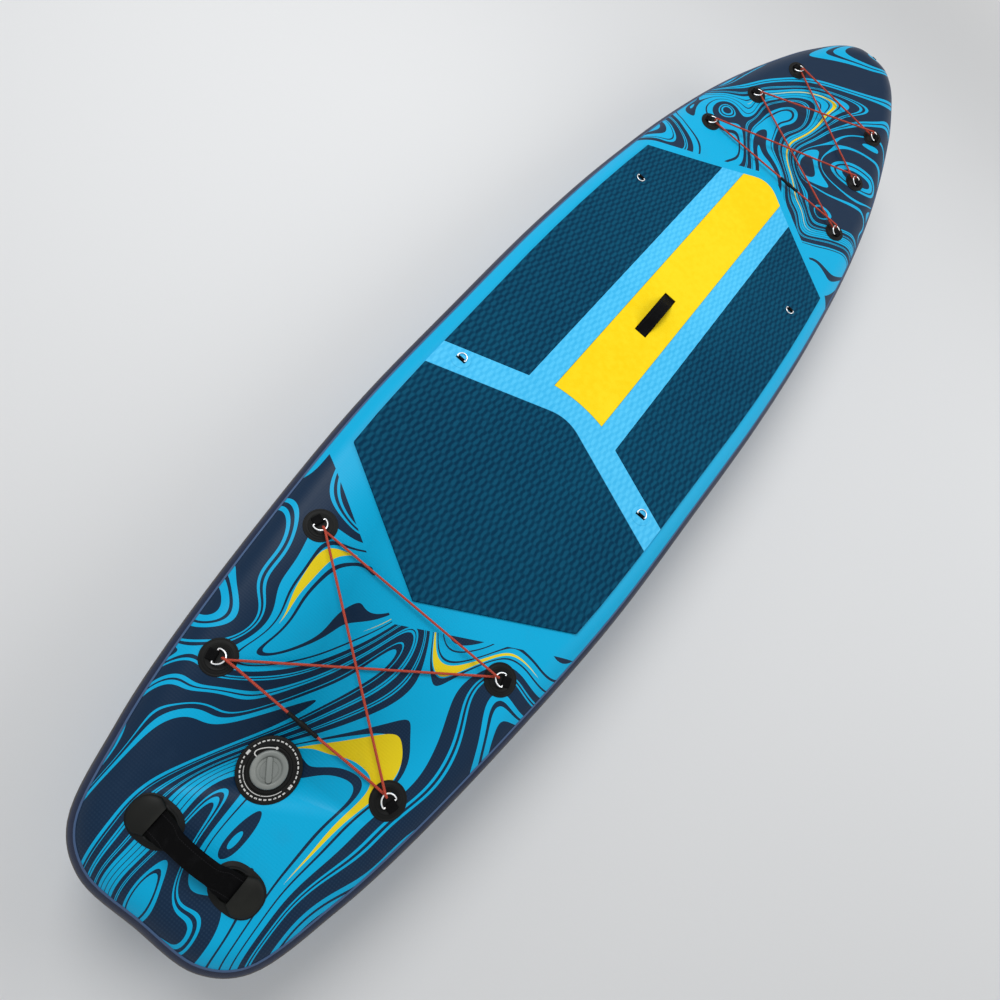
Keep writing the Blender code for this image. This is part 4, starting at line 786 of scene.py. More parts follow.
def rail_finish():
    finish = Finish("rail_band_pvc", roughness=0.42, Specular_IOR_Level=0.16)
    angle = finish.node("ShaderNodeAttribute", {"attribute_name": "rail_angle"}, output="Fac")
    off_middle = finish.absolute(angle - 90.0)
    navy = off_middle > NAVY_FROM_MIDDLE
    line = off_middle > LINE_FROM_MIDDLE
    graphite = finish.mix(finish.noise(9.0, 3.0), paint(40, 37, 39), paint(56, 52, 54))
    dark_blue = finish.mix(finish.noise(6.0, 3.0), paint(6, 22, 52), paint(14, 32, 66))
    striped = finish.mix(navy, graphite, dark_blue)
    finish.colour(finish.mix(line, striped, paint(74, 98, 134)))
    cloth = finish.weave(finish.z, TAPE_CLOTH_PITCH)
    finish.relief(cloth * 0.03 + finish.noise(9.0, 2.0) * 0.5 + finish.noise(300.0, 2.0) * 0.03)
    finish.rough(0.38 + finish.noise(11.0, 3.0) * 0.16)
    return finish


RAIL = rail_finish()
print("navy from", NAVY_FROM_MIDDLE, "degrees off the middle of the rail")

# %% [markdown]
# The underside is plain cyan with two thin keel lines and a thin line along each side. A mask for each
# is written from the distance to the middle line, which is sharper than a picture and costs nothing.

# %% Underside finish
KEEL_LINE = (0.024, 0.003)
SIDE_LINE = (half_width(0) * 0.72, 0.004)


def belly_finish():
    finish = Finish("underside_pvc", roughness=0.38, Specular_IOR_Level=0.22)
    across = finish.absolute(finish.x)
    keel, side = (finish.absolute(across - place) < half for place, half in (KEEL_LINE, SIDE_LINE))
    base = finish.mix(finish.noise(1.2, 2.0), paint(0, 156, 214), paint(4, 166, 222))
    finish.colour(finish.mix(finish.math("MAXIMUM", keel, side), base, NAVY))
    pvc_relief(finish)
    finish.rough(0.36 + finish.noise(6.0, 3.0) * 0.12)
    return finish


BELLY = belly_finish()
print("finishes", [finish.material.name for finish in (PRINTED, RAIL, BELLY)])

# %% [markdown]
# ## Skins and rail
# Each skin is built as rings round the rail, from the flat part out to the seam, bridged one to the
# next. The innermost ring is closed flat, round the hole for the valve on the deck's side. The rail wall
# is made the same way with its own angles. A wider tape is glued over it and over the skins' edges, 0.6
# mm proud.

# %% Skins and rail
SKIN_WALL = 0.0012
TAPE_PROUD = 0.0006
TAPE_WALL = 0.0005
TAPE_ANGLE = 42.0
SEAM_OVERLAP = 0.6
SKIN_STEPS = 10
VALVE_Y = -1.294
VALVE_HOLE = 0.0265


def rail_rings(bm, angles, outward=0.0):
    """Rings of edges round the rail at these angles from the top, bridged in order."""
    marks = bm.verts.layers.float.new("rail_angle")
    rings = []
    for angle in angles:
        turn = math.radians(angle)
        radius = RAIL_RADIUS + outward
        level = RAIL_RADIUS + radius * math.cos(turn)
        plan = plan_loop(RAIL_RADIUS - radius * math.sin(turn))
        ring = edge_loop(bm, [(point.x, point.y, level) for point in plan])
        for edge in ring:
            edge.verts[0][marks] = angle
            edge.verts[1][marks] = angle
        rings.append(ring)
    bridge(bm, rings)
    return rings


def face_outwards(bm):
    """Turns an open shell's faces away from the middle of the board."""
    bmesh.ops.recalc_face_normals(bm, faces=bm.faces)
    lean = sum(face.normal.dot(face.calc_center_median() - Vector((0, 0, RAIL_RADIUS))) for face in bm.faces)
    if lean < 0:
        bmesh.ops.reverse_faces(bm, faces=bm.faces)


def circle(bm, centre, radius):
    """A round loop of edges."""
    turns = [math.tau * i / 64 for i in range(64)]
    return edge_loop(bm, [centre + Vector((math.cos(turn), math.sin(turn), 0)) * radius for turn in turns])


def make_skin(name, first_angle, finish, node, hole=None):
    """A flat sheet rolled over the rail from the flat (0 or 180 degrees) to the seam."""
    bm = bmesh.new()
    seam = SEAM_ANGLE if first_angle == 0 else 180 - SEAM_ANGLE
    steps = SKIN_STEPS
    rings = rail_rings(bm, [first_angle + (seam - first_angle) * i / steps for i in range(steps + 1)])
    if hole is None:
        bmesh.ops.contextual_create(bm, geom=rings[0])
    else:
        edges = rings[0] + circle(bm, hole, VALVE_HOLE)
        bmesh.ops.triangle_fill(bm, use_beauty=True, use_dissolve=True, edges=edges, normal=(0, 0, 1))
    bend_to_rocker(bm)
    face_outwards(bm)
    skin = piece(name, bm, finish, stands_for=[node], smooth=25)
    add_wall(skin, SKIN_WALL).use_even_offset = True
    print(name, len(skin.data.polygons), "faces")


def make_rail_layer(name, low, outward, thickness, steps):
    """A band round the rail, from this angle off the top to the same angle off the bottom."""
    bm = bmesh.new()
    rail_rings(bm, [low + (180 - 2 * low) * i / steps for i in range(steps + 1)], outward)
    bend_to_rocker(bm)
    face_outwards(bm)
    band = piece(name, bm, RAIL, stands_for=["rail_band"], smooth=25)
    add_wall(band, thickness).use_even_offset = True
    print(name, len(band.data.polygons), "faces")


make_skin("deck_printed", 0, PRINTED, "deck_skin", Vector((0, VALVE_Y, DECK)))
make_skin("underside_skin", 180, BELLY, "bottom_skin")
make_rail_layer("rail_wall_inner", SEAM_ANGLE + SEAM_OVERLAP, 0.0, SKIN_WALL, 12)
make_rail_layer("rail_tape_printed", TAPE_ANGLE, TAPE_PROUD, TAPE_WALL, 18)

# %% [markdown]
# ## The foam deck pad
# The foam is pressed: a net of ridges round long pits, in rows offset by half a pit, and a low round
# rise over each ring's patch. Thousands of modelled pits would swamp the piece, so both are relief.
# Waves across and along the board give the net, and a little noise makes it less regular. The same mask
# paints the pits darker than the ridges, as painted shade in the recesses, and a ring of painted shade
# darkens the edge of each rise.

# %% Pad finishes
CELL_WIDTH = 0.0154
CELL_ROW = 0.0230
PAD_PATCH_RADIUS = 0.026
RING_RISE_MM = 0.9


def embossed_cells(finish):
    """The foam's net of ridges round long pits, each row offset by half a pit: 1 on a ridge, 0 in a pit."""
    wobble = (finish.noise(70.0, 1.0) - 0.5) * 2.4
    across = finish.math("COSINE", finish.x * (math.tau / CELL_WIDTH) + wobble)
    along = finish.math("COSINE", finish.y * (math.pi / CELL_ROW) + wobble * 0.6)
    rows = finish.wave(finish.y, CELL_ROW, "COSINE")
    return 1 - finish.ramp(across * along - rows * 0.12, -0.55, 0.62)


def ring_bosses(finish):
    """The low round rises where the patches of the pad's rings lie under the foam."""
    rise = 0.0
    for name in ("pad_rear_left_ring_hinge", "pad_front_left_ring_hinge"):
        spot = Vector(JOINTS[name]["pos_m"]) - STAND
        away = distance(finish.absolute(finish.x) - abs(spot.x), finish.y - spot.y)
        rise = 1 - finish.ramp(away, PAD_PATCH_RADIUS - 0.003, PAD_PATCH_RADIUS + 0.001) + rise
    return rise


def foam_finish(name, ridge, pit, depth, net, roughness):
    """Foam with pits of this depth in millimetres. The net says how far the pits are painted darker than the
    ridges, as painted shade.
    """
    finish = Finish(name, roughness=roughness, Specular_IOR_Level=0.07)
    foam = finish.noise(420.0, 2.0)
    mottles = finish.noise(3.0, 4.0) * 0.6 + finish.noise(60.0, 2.0) * 0.4
    share = finish.ramp(mottles, 0.35, 0.68)
    if depth > 0:
        cells = embossed_cells(finish)
        rise = ring_bosses(finish)
        # Painted shade: the pits are painted darker than the ridges, and the edge of each rise is darkened.
        share = share * (1 - net) + cells * net + (foam - 0.5) * 0.25 - rise * (1 - rise) * 1.2
        finish.relief(cells * depth + foam * 0.05 + rise * RING_RISE_MM)
        finish.rough(roughness + (foam - 0.5) * 0.18 + (1 - cells) * 0.08)
    else:
        share = share + (foam - 0.5) * 0.25
        finish.relief(foam * 0.05 + finish.noise(90.0, 2.0) * 0.06)
        finish.rough(roughness + (foam - 0.5) * 0.18)
    finish.colour(finish.mix(share, pit, ridge))
    return finish


# The fifth value is how far the pits are painted darker, as painted shade.
TEAL = foam_finish("teal_foam", paint(9, 81, 111), paint(1, 49, 77), 0.55, 0.80, 0.72)
SKY_BLUE = foam_finish("sky_blue_foam", paint(90, 206, 255), paint(64, 186, 240), 0.35, 0.60, 0.68)
YELLOW = foam_finish("yellow_foam", paint(255, 226, 34), paint(253, 216, 20), 0.0, 0.0, 0.64)
print("pits of", CELL_WIDTH, "by", CELL_ROW, "m")

# %% [markdown]
# Five sheets of EVA foam are inlaid edge to edge. Their outlines and the slots through them are already
# in the packed solids, so each sheet starts as a slice through its own solid, which is surer than
# drawing the outline again. The solid is laid flat and cut at part of its thickness. The cut is filled,
# thickened, rounded along its upper edge and bent to the rocker again.

# %% Pad sheets
PAD_BOTTOM = DECK + 0.0003
PAD_THICKNESS = 0.005
PAD_ROUNDING = 0.0014
PAD_CUT = PAD_BOTTOM + PAD_THICKNESS * 0.62
PAD_TOP = PAD_BOTTOM + PAD_THICKNESS


def slice_of(node, height):
    """The outline of a packed solid at this height over the laid-flat underside, filled with faces."""
    bm = bmesh.new()
    bm.from_mesh(frame["nodes"][node].data)
    bmesh.ops.remove_doubles(bm, verts=bm.verts, dist=1e-5)
    bmesh.ops.translate(bm, verts=bm.verts, vec=-STAND)
    for vert in bm.verts:
        vert.co.z -= lift(vert.co.y)
    everything = bm.verts[:] + bm.edges[:] + bm.faces[:]
    bmesh.ops.bisect_plane(
        bm, geom=everything, plane_co=(0, 0, height), plane_no=(0, 0, 1), dist=1e-6,
        clear_inner=True, clear_outer=True,
    )
    for vert in bm.verts:
        vert.co.z = height
    bmesh.ops.remove_doubles(bm, verts=bm.verts, dist=2e-5)
    bmesh.ops.dissolve_limit(bm, angle_limit=math.radians(0.3), verts=bm.verts, edges=bm.edges)
    bmesh.ops.triangle_fill(bm, use_beauty=True, edges=bm.edges, normal=(0, 0, 1))
    return bm


def make_pad(name, node, finish):
    bm = slice_of(node, PAD_CUT)
    bmesh.ops.recalc_face_normals(bm, faces=bm.faces)
    for vert in bm.verts:
        vert.co.z = PAD_BOTTOM
    raised = bmesh.ops.extrude_face_region(bm, geom=bm.faces[:])
    for vert in [element for element in raised["geom"] if isinstance(element, bmesh.types.BMVert)]:
        vert.co.z = PAD_TOP
    bmesh.ops.recalc_face_normals(bm, faces=bm.faces)
    flat = [edge for edge in bm.edges if len(edge.link_faces) == 2 and edge.calc_face_angle(0.0) < 0.01]
    inner = [edge for edge in flat if abs(edge.link_faces[0].normal.z) > 0.9]
    bmesh.ops.dissolve_edges(bm, edges=inner, use_verts=False)
    upper = [edge for edge in bm.edges if all(vert.co.z > PAD_TOP - 1e-5 for vert in edge.verts)]
    rim = [edge for edge in upper if edge.calc_face_angle(0.0) > 1.0]
    soften(bm, PAD_ROUNDING, 3, edges=rim)
    bend_to_rocker(bm)
    pad = piece(name, bm, finish, stands_for=[node], smooth=50)
    pad.modifiers.new("flat_faces", "WEIGHTED_NORMAL").keep_sharp = True
    print(name, len(pad.data.polygons), "faces")


make_pad("rear_pad_sheet", "pad_rear", TEAL)
make_pad("blue_frame_sheet", "pad_light_blue_frame", SKY_BLUE)
make_pad("yellow_stripe_sheet", "pad_center_stripe", YELLOW)
make_pad("left_front_pad_sheet", "pad_front_left", TEAL)
make_pad("right_front_pad_sheet", "pad_front_right", TEAL)

# %% [markdown]
# ## Finishes of the fittings
# Webbing is woven in ribs across the strap, with a row of stitches along each edge. On its straps the
# pattern has to bend with the cloth, so it follows the strap's own UV map and not the object's
# coordinates. The black is worn paler where dust and hands get at it.

# %% Webbing
RIB_PITCH = 0.0016
STITCH_LENGTH = 0.0042
STITCH_ROWS = (0.05, 0.39)
YARNS_AROUND = 26


def webbing_finish(name, shade):
    """A woven strap. Its UV map gives turns around and metres along."""
    finish = Finish(name, roughness=0.82, Specular_IOR_Level=0.06)
    around, along, _ = finish.parts(finish.node("ShaderNodeUVMap"))
    rib = finish.wave(along, RIB_PITCH)
    yarn = finish.math("SINE", around * (math.tau * YARNS_AROUND))
    weave = rib * 0.6 + rib * yarn * 0.4
    rows = 0.0
    for row in STITCH_ROWS:
        rows = (finish.absolute(around - row) < 0.007) + rows
    stitch = rows * (finish.wave(along, STITCH_LENGTH) > -0.25)
    dust = finish.noise(60.0, 3.0)
    base = finish.mix(finish.ramp(weave, -0.9, 0.9), paint(4, 4, 5), paint(*shade))
    worn = finish.mix(finish.ramp(dust, 0.5, 0.8) * 0.30, base, paint(28, 28, 30))
    finish.colour(finish.mix(stitch * 0.8, worn, paint(36, 36, 38)))
    finish.relief(weave * 0.16 + stitch * 0.25)
    finish.rough(0.78 + weave * 0.08)
    return finish


WEBBING = webbing_finish("black_webbing_weave", (18, 18, 19))
HANDLE_WEBBING = webbing_finish("handle_webbing_weave", (9, 9, 10))
print("ribs every", RIB_PITCH, "m")

# %% [markdown]
# Rubber and moulded plastic differ little: both have the mould's fine grain and a few rubbed, paler
# places. So one function writes both from a dark and a light colour, the gloss and the grain's depth.

# %% Rubber and plastic
GRAIN_SCALE = 900.0


def moulded_finish(name, dark, light, roughness, grain=0.03, **constants):
    """Moulded rubber or plastic with a fine grain and slightly rubbed places."""
    finish = Finish(name, roughness=roughness, **constants)
    rubbed = finish.ramp(finish.noise(14.0, 4.0), 0.42, 0.72)
    finish.colour(finish.mix(rubbed, paint(*dark), paint(*light)))
    fine = finish.noise(GRAIN_SCALE, 2.0)
    finish.relief(fine * grain + finish.noise(70.0, 2.0) * grain * 1.5)
    finish.rough(roughness + (rubbed - 0.5) * 0.12 + (fine - 0.5) * 0.08)
    return finish


RUBBER = moulded_finish("black_rubber_moulded", (10, 11, 11), (22, 23, 22), 0.55, Specular_IOR_Level=0.14)
BOOT_RUBBER = moulded_finish(
    "boot_rubber_moulded", (16, 17, 15), (31, 32, 29), 0.55, 0.05, Specular_IOR_Level=0.16
)
FIN_PLASTIC = moulded_finish("fin_plastic_moulded", (20, 20, 21), (34, 34, 36), 0.36, 0.02)
CAP_PLASTIC = moulded_finish("grey_plastic_moulded", (122, 127, 124), (144, 148, 144), 0.42, 0.02)
TETHER_PLASTIC = moulded_finish("white_plastic_tether", (214, 214, 210), (232, 232, 228), 0.45, 0.01)
print("grain of", GRAIN_SCALE, "per metre")

# %% [markdown]
# The rings are polished steel wire and the fin's nut is brass. Drawn metal has fine lines along it,
# which show in its gloss more than in its shape, so they go mostly to the roughness.

# %% Metal


def metal_finish(name, dark, light, roughness):
    """Metal with fine drawing lines and faint smears."""
    finish = Finish(name, roughness=roughness, Metallic=1.0)
    stretched = finish.vector("MULTIPLY", finish.place, (40.0, 900.0, 900.0))
    lines = finish.noise(1.0, 2.0, stretched)
    finish.colour(finish.mix(finish.noise(90.0, 3.0), paint(*dark), paint(*light)))
    finish.rough(roughness + (lines - 0.5) * 0.16)
    finish.relief(lines * 0.004)
    return finish


STEEL = metal_finish("polished_steel", (226, 227, 228), (244, 245, 245), 0.30)
BRASS = metal_finish("plain_brass", (186, 150, 84), (212, 178, 108), 0.30)
print("metals", STEEL.material.name, "and", BRASS.material.name)

# %% [markdown]
# The bungee's braid is two sets of strands that cross at a slant. Modelled strands would be far too fine
# for a cord of two metres. Each set is a wave of turns plus or minus metres, the higher of the two is on
# top, and a paler fleck marks where they cross.

# %% Braided cord
STRANDS_AROUND = 5
STRAND_PITCH = 0.0075


def cord_finish():
    finish = Finish("braided_cord", roughness=0.62)
    around, along, _ = finish.parts(finish.node("ShaderNodeUVMap"))
    turn = around * (math.tau * STRANDS_AROUND)
    slant = along * (math.tau / STRAND_PITCH)
    right = finish.math("SINE", turn + slant)
    left = finish.math("SINE", turn - slant)
    strands = finish.math("MAXIMUM", right, left)
    fleck = (right * left) > 0.62
    base = finish.mix(finish.ramp(strands, 0.1, 1.0), paint(126, 30, 14), paint(212, 66, 34))
    finish.colour(finish.mix(fleck * 0.35, base, paint(236, 140, 104)))
    finish.relief(strands * 0.30)
    finish.rough(0.58 + strands * 0.06)
    return finish


CORD = cord_finish()
print("finishes so far", len(bpy.data.materials))

# %% [markdown]
# ## Straps
# Webbing is flat with rounded edges. Both handles are straps that lie flat at their ends and arch
# between them, and they grow thicker over the grip. A strap could be a box that is bent, but its section
# changes along the way, so it is swept: the arch gives the middle line, and how much grip there is at
# each point.

# %% Strap sections and arches
SEAT_GAP = 0.0003


def strap_point(width, thickness, around):
    """A point of the strap's cross-section, run round from its upper left."""
    run = width - thickness
    bend = math.pi * thickness / 2
    far = (around % 1.0) * 2 * (run + bend)
    if far < run:
        return far - run / 2, thickness / 2
    if far < run + bend:
        turn = math.pi / 2 - (far - run) / (thickness / 2)
        return run / 2 + math.cos(turn) * thickness / 2, math.sin(turn) * thickness / 2
    if far < 2 * run + bend:
        return run / 2 - (far - run - bend), -thickness / 2
    turn = -math.pi / 2 - (far - 2 * run - bend) / (thickness / 2)
    return math.cos(turn) * thickness / 2 - run / 2, math.sin(turn) * thickness / 2


def flat_section(width, thickness):
    return lambda around, along: strap_point(width, thickness, around)


def ease(share):
    """0 to 1, held at both ends and smooth between them."""
    share = min(1.0, max(0.0, share))
    return share * share * (3 - 2 * share)


def arch(half_span, tongue, base, peak, steps=36):
    """The strap's middle line as (distance along, height), and how much grip it has at each point."""
    line = [(-half_span - tongue, base, 0.0), (-half_span - tongue / 2, base, 0.0), (-half_span, base, 0.0)]
    for i in range(1, steps):
        wave = math.sin(math.pi * i / steps)
        height = base + (peak - base) * wave**1.1
        line.append((half_span * (2 * i / steps - 1), height, ease((wave - 0.45) / 0.35)))
    line += [(half_span, base, 0.0), (half_span + tongue / 2, base, 0.0), (half_span + tongue, base, 0.0)]
    return line


def arched_strap(line, place, along_axis, thin, thick, sides=40):
    """Sweeps a strap along the arch. thin and thick are (width, thickness) at the ends and at the grip."""
    path = [place @ (along_axis * far + Vector((0, 0, height))) for far, height, grip in line]

    def section(around, along):
        share = line[round(along * (len(line) - 1))][2]
        width = thin[0] + (thick[0] - thin[0]) * share
        return strap_point(width, thin[1] + (thick[1] - thin[1]) * share, around)

    return sweep(path, section, (0, 0, 1), sides)


print("a strap's section starts at", strap_point(0.034, 0.0022, 0.0))

# %% [markdown]
# The carry handle spans a slot in the yellow stripe. Its ends go under the foam, and a thin black sheet
# covers the deck in the slot, so that the print doesn't show there.

# %% Carry handle
CARRY_Y = 0.120
CARRY_SLOT_LENGTH = 0.172
CARRY_SLOT_WIDTH = 0.037
CARRY_STRAP_WIDTH = 0.034
CARRY_STRAP_THICKNESS = 0.0022
CARRY_GRIP_THICKNESS = 0.0056
CARRY_HEIGHT = 0.026
CARRY_TONGUE = 0.046


def make_carry_handle():
    base = SEAT_GAP + CARRY_STRAP_THICKNESS / 2
    line = arch(CARRY_SLOT_LENGTH / 2 - 0.004, CARRY_TONGUE, base, CARRY_HEIGHT)
    thin = (CARRY_STRAP_WIDTH, CARRY_STRAP_THICKNESS)
    thick = (CARRY_STRAP_WIDTH, CARRY_GRIP_THICKNESS)
    bm = arched_strap(line, deck_frame(0, CARRY_Y), Vector((0, 1, 0)), thin, thick)
    piece("carry_handle_webbing", bm, HANDLE_WEBBING, stands_for=["carry_handle_strap"])
    liner = block((CARRY_SLOT_WIDTH + 0.004, CARRY_SLOT_LENGTH + 0.004, 0.0002))
    bmesh.ops.transform(liner, matrix=deck_frame(0, CARRY_Y, height=0.00015), verts=liner.verts)
    soften(liner, 0.002, 3, edges=upright_edges(liner))
    piece("carry_slot_liner", liner, WEBBING)


make_carry_handle()
print("carry handle at", CARRY_Y)

# %% [markdown]
# ## The tail handle
# One wide strap runs over the deck behind the valve, and each of its ends goes into a moulded boot on an
# oval patch. It is swept along an arch as the carry handle is. Over the grip it is folded, so it is
# narrower and thicker there.

# %% Tail handle strap
TAIL_HANDLE_Y = -1.459
TAIL_HANDLE_HALF = 0.089
TAIL_HANDLE_HEIGHT = 0.036
TAIL_TONGUE = 0.031
TAIL_STRAP = (0.043, 0.0035)
TAIL_GRIP = (0.035, 0.0088)
TAIL_PATCH_THICKNESS = 0.0014
TAIL_STRAP_LEVEL = SEAT_GAP * 2 + TAIL_PATCH_THICKNESS + TAIL_STRAP[1] / 2


def make_tail_strap():
    line = arch(TAIL_HANDLE_HALF, TAIL_TONGUE, TAIL_STRAP_LEVEL, TAIL_HANDLE_HEIGHT, 48)
    middle = deck_frame(0, TAIL_HANDLE_Y)
    bm = arched_strap(line, middle, Vector((1, 0, 0)), TAIL_STRAP, TAIL_GRIP, 48)
    piece("tail_handle_webbing", bm, HANDLE_WEBBING, stands_for=["tail_handle_strap"])


make_tail_strap()
print("tail handle at", TAIL_HANDLE_Y)

# %% [markdown]
# The oval patch under each boot could be a scaled disc, but the real oval has fuller corners. So it is
# lofted from rings of a superellipse, and beside the strap its inner half rises in a bead.

# %% Tail handle patches
TAIL_PATCH_HALF = Vector((0.050, 0.036))
OVAL_POWER = 2.4
OVAL_STEPS = 80
OVAL_LEVELS = (
    (0.0000, 0.0003, 0.0), (0.0000, 0.0010, 0.0), (0.0009, 0.0017, 0.0), (0.0064, 0.0017, 0.0),
    (0.0072, 0.0017, 0.2), (0.0086, 0.0017, 0.8), (0.0100, 0.0017, 1.0), (0.0114, 0.0017, 0.8),
    (0.0128, 0.0017, 0.2), (0.0136, 0.0017, 0.0),
)
BEAD_HEIGHT = 0.0036
BEAD_START = 0.003
BEAD_FADE = 0.008


def signed_power(value, power):
    """The power of a number's size, with the number's own sign."""
    return math.copysign(abs(value) ** power, value)


def oval_point(turn, inset):
    """A point of the oval, drawn in by the inset. +X is the outer end."""
    along = signed_power(math.cos(turn), 2 / OVAL_POWER)
    across = signed_power(math.sin(turn), 2 / OVAL_POWER)
    return along * (TAIL_PATCH_HALF.x - inset), across * (TAIL_PATCH_HALF.y - inset)


def make_oval_patch(side, word):
    bm = bmesh.new()
    rings = []
    for inset, level, bead in OVAL_LEVELS:
        points = []
        for i in range(OVAL_STEPS):
            along, across = oval_point(math.tau * i / OVAL_STEPS, inset)
            rise = BEAD_HEIGHT * bead * ease((BEAD_START - along) / BEAD_FADE)
            points.append((side * along, across, level + rise))
        rings.append(edge_loop(bm, points))
    bridge(bm, rings, closed=(0, -1))
    bmesh.ops.recalc_face_normals(bm, faces=bm.faces)
    bmesh.ops.transform(bm, matrix=deck_frame(side * TAIL_HANDLE_HALF, TAIL_HANDLE_Y), verts=bm.verts)
    node = f"tail_handle_patch_{word}"
    piece(f"tail_handle_oval_{word}", bm, RUBBER, stands_for=[node], smooth=50)


print("oval patch", [round(2 * half, 3) for half in TAIL_PATCH_HALF], "m")

# %% [markdown]
# A boot is moulded rubber, wide at its mouth and low and narrow at its outer end. It is lofted from
# arched sections that follow the oval as they shrink. The mouth holds a pocket that fits the strap: the
# wall is filled round the strap's outline, and that outline is drawn inwards and closed.

# %% Boots
BOOT_LENGTH = 0.0475
BOOT_HALF_WIDTH = 0.0335
BOOT_MOUTH = 0.0262
BOOT_HEIGHT = 0.0098
BOOT_FOOT = 0.0012
BOOT_FLARE = 0.0075
BOOT_STEPS = 24
POCKET_ROOM = (0.0012, 0.0006)
BOOT_SHARES = (0.0, 0.04, 0.2, 0.36, 0.5, 0.62, 0.72, 0.80, 0.87, 0.92, 0.96, 0.985)


def boot_ring(bm, share, side):
    """One arched section of a boot, as a closed loop of edges."""
    half = BOOT_HALF_WIDTH * (1 - share**OVAL_POWER) ** (1 / OVAL_POWER)
    half = min(half, BOOT_MOUTH + BOOT_FLARE * ease(share / 0.42))
    height = BOOT_HEIGHT * (1 - 0.78 * share**3.2)
    points = []
    for i in range(BOOT_STEPS + 1):
        turn = math.pi * i / BOOT_STEPS
        across = signed_power(math.cos(turn), 0.74) * half
        rise = height * math.sin(turn) ** 0.56 if 0 < i < BOOT_STEPS else 0.0
        points.append((side * BOOT_LENGTH * share, across, BOOT_FOOT + rise))
    return edge_loop(bm, points)


def make_boot(side, word):
    bm = bmesh.new()
    rings = [boot_ring(bm, share, side) for share in BOOT_SHARES]
    bridge(bm, rings, closed=(-1,))
    width, thickness = (size + room for size, room in zip(TAIL_STRAP, POCKET_ROOM))
    slot = [strap_point(width, thickness, i / 40) for i in range(40)]
    lip = edge_loop(bm, [(0, across, TAIL_STRAP_LEVEL + rise) for across, rise in slot])
    bmesh.ops.triangle_fill(bm, use_beauty=True, edges=rings[0] + lip, normal=(1, 0, 0))
    drawn = bmesh.ops.extrude_edge_only(bm, edges=lip)["geom"]
    deep = [element for element in drawn if isinstance(element, bmesh.types.BMVert)]
    bmesh.ops.translate(bm, verts=deep, vec=(side * (TAIL_TONGUE + 0.001), 0, 0))
    bmesh.ops.contextual_create(bm, geom=[e for e in drawn if isinstance(e, bmesh.types.BMEdge)])
    bmesh.ops.recalc_face_normals(bm, faces=bm.faces)
    bmesh.ops.transform(bm, matrix=deck_frame(side * TAIL_HANDLE_HALF, TAIL_HANDLE_Y), verts=bm.verts)
    boot = piece(f"tail_handle_boot_{word}", bm, BOOT_RUBBER, smooth=32)
    round_edges(boot, 0.0008, 3, 42)


for side, word in ((-1, "left"), (1, "right")):
    make_oval_patch(side, word)
    make_boot(side, word)
print("boots", BOOT_LENGTH, "m long")

# %% [markdown]
# ## The valve
# The valve's parts are all turned on one upright axis, so each is a profile that is spun. The rubber patch
# has a white print: a plain ring of dashes with two bold marks. A thin white arc just outside the flange is
# a painted highlight of the flange's edge. A picture would need a UV map, so both are written from the angle
# and the distance to the axis. Noise lets the ink miss in places, as old ink does, and breaks the painted
# highlight the same way.

# %% Valve print
VALVE = deck_frame(0, VALVE_Y)
DASH_RING = (0.0490, 0.0012)
BOLD_RING = (0.0485, 0.0024)
# Radius and half width of the painted highlight along the flange's edge.
FLANGE_HIGHLIGHT_RING = (0.0432, 0.0006)
DASHES = 38.0


def valve_print_finish():
    """Black rubber with a white ring of dashes and two bold marks, and a thin white arc of painted highlight
    along the flange's edge.
    """
    finish = Finish("valve_patch_print", roughness=0.55, Specular_IOR_Level=0.14)
    spot = finish.vector("SUBTRACT", finish.place, (0.0, VALVE_Y, 0.0))
    x, y, _ = finish.parts(spot)
    turn = finish.math("ARCTAN2", y, x)
    away = distance(x, y)
    rings = (DASH_RING, BOLD_RING, FLANGE_HIGHLIGHT_RING)
    dash, bold, arc = (finish.absolute(away - radius) < half for radius, half in rings)
    dash = dash * (finish.math("SINE", turn * DASHES) > -0.35) * (finish.absolute(y) > 0.0085)
    bold = bold * (finish.absolute(y) < 0.0042)
    # Painted highlight: a thin white arc along the flange's edge, mixed in with the ink.
    arc = arc * (finish.absolute(turn + 1.484) < 1.17)
    ink_and_highlight = finish.math("MAXIMUM", finish.math("MAXIMUM", dash, bold), arc)
    patchy = finish.ramp(finish.noise(500.0, 2.0), 0.30, 0.46)
    rubbed = finish.mix(finish.noise(30.0, 3.0), paint(9, 9, 9), paint(22, 22, 21))
    finish.colour(finish.mix(ink_and_highlight * patchy, rubbed, paint(216, 217, 214)))
    finish.relief(finish.noise(900.0, 2.0) * 0.03 + ink_and_highlight * 0.03)
    finish.rough(0.52 + finish.noise(40.0, 2.0) * 0.12)
    return finish


VALVE_PRINT = valve_print_finish()
print("print with", DASHES, "dashes")

# %% [markdown]
# A printed rubber patch lies on the deck, the outer flange on it, and the body is screwed to the flange
# from below. The body's three spokes hold the hub that guides the sprung stem.

# %% Valve seat, body and stem
VALVE_PATCH_RADIUS = 0.057
SPOKES = 3


def valve_part(name, bm, finish, node, body="hull"):
    piece(name, bm, finish, body, [node], 30)


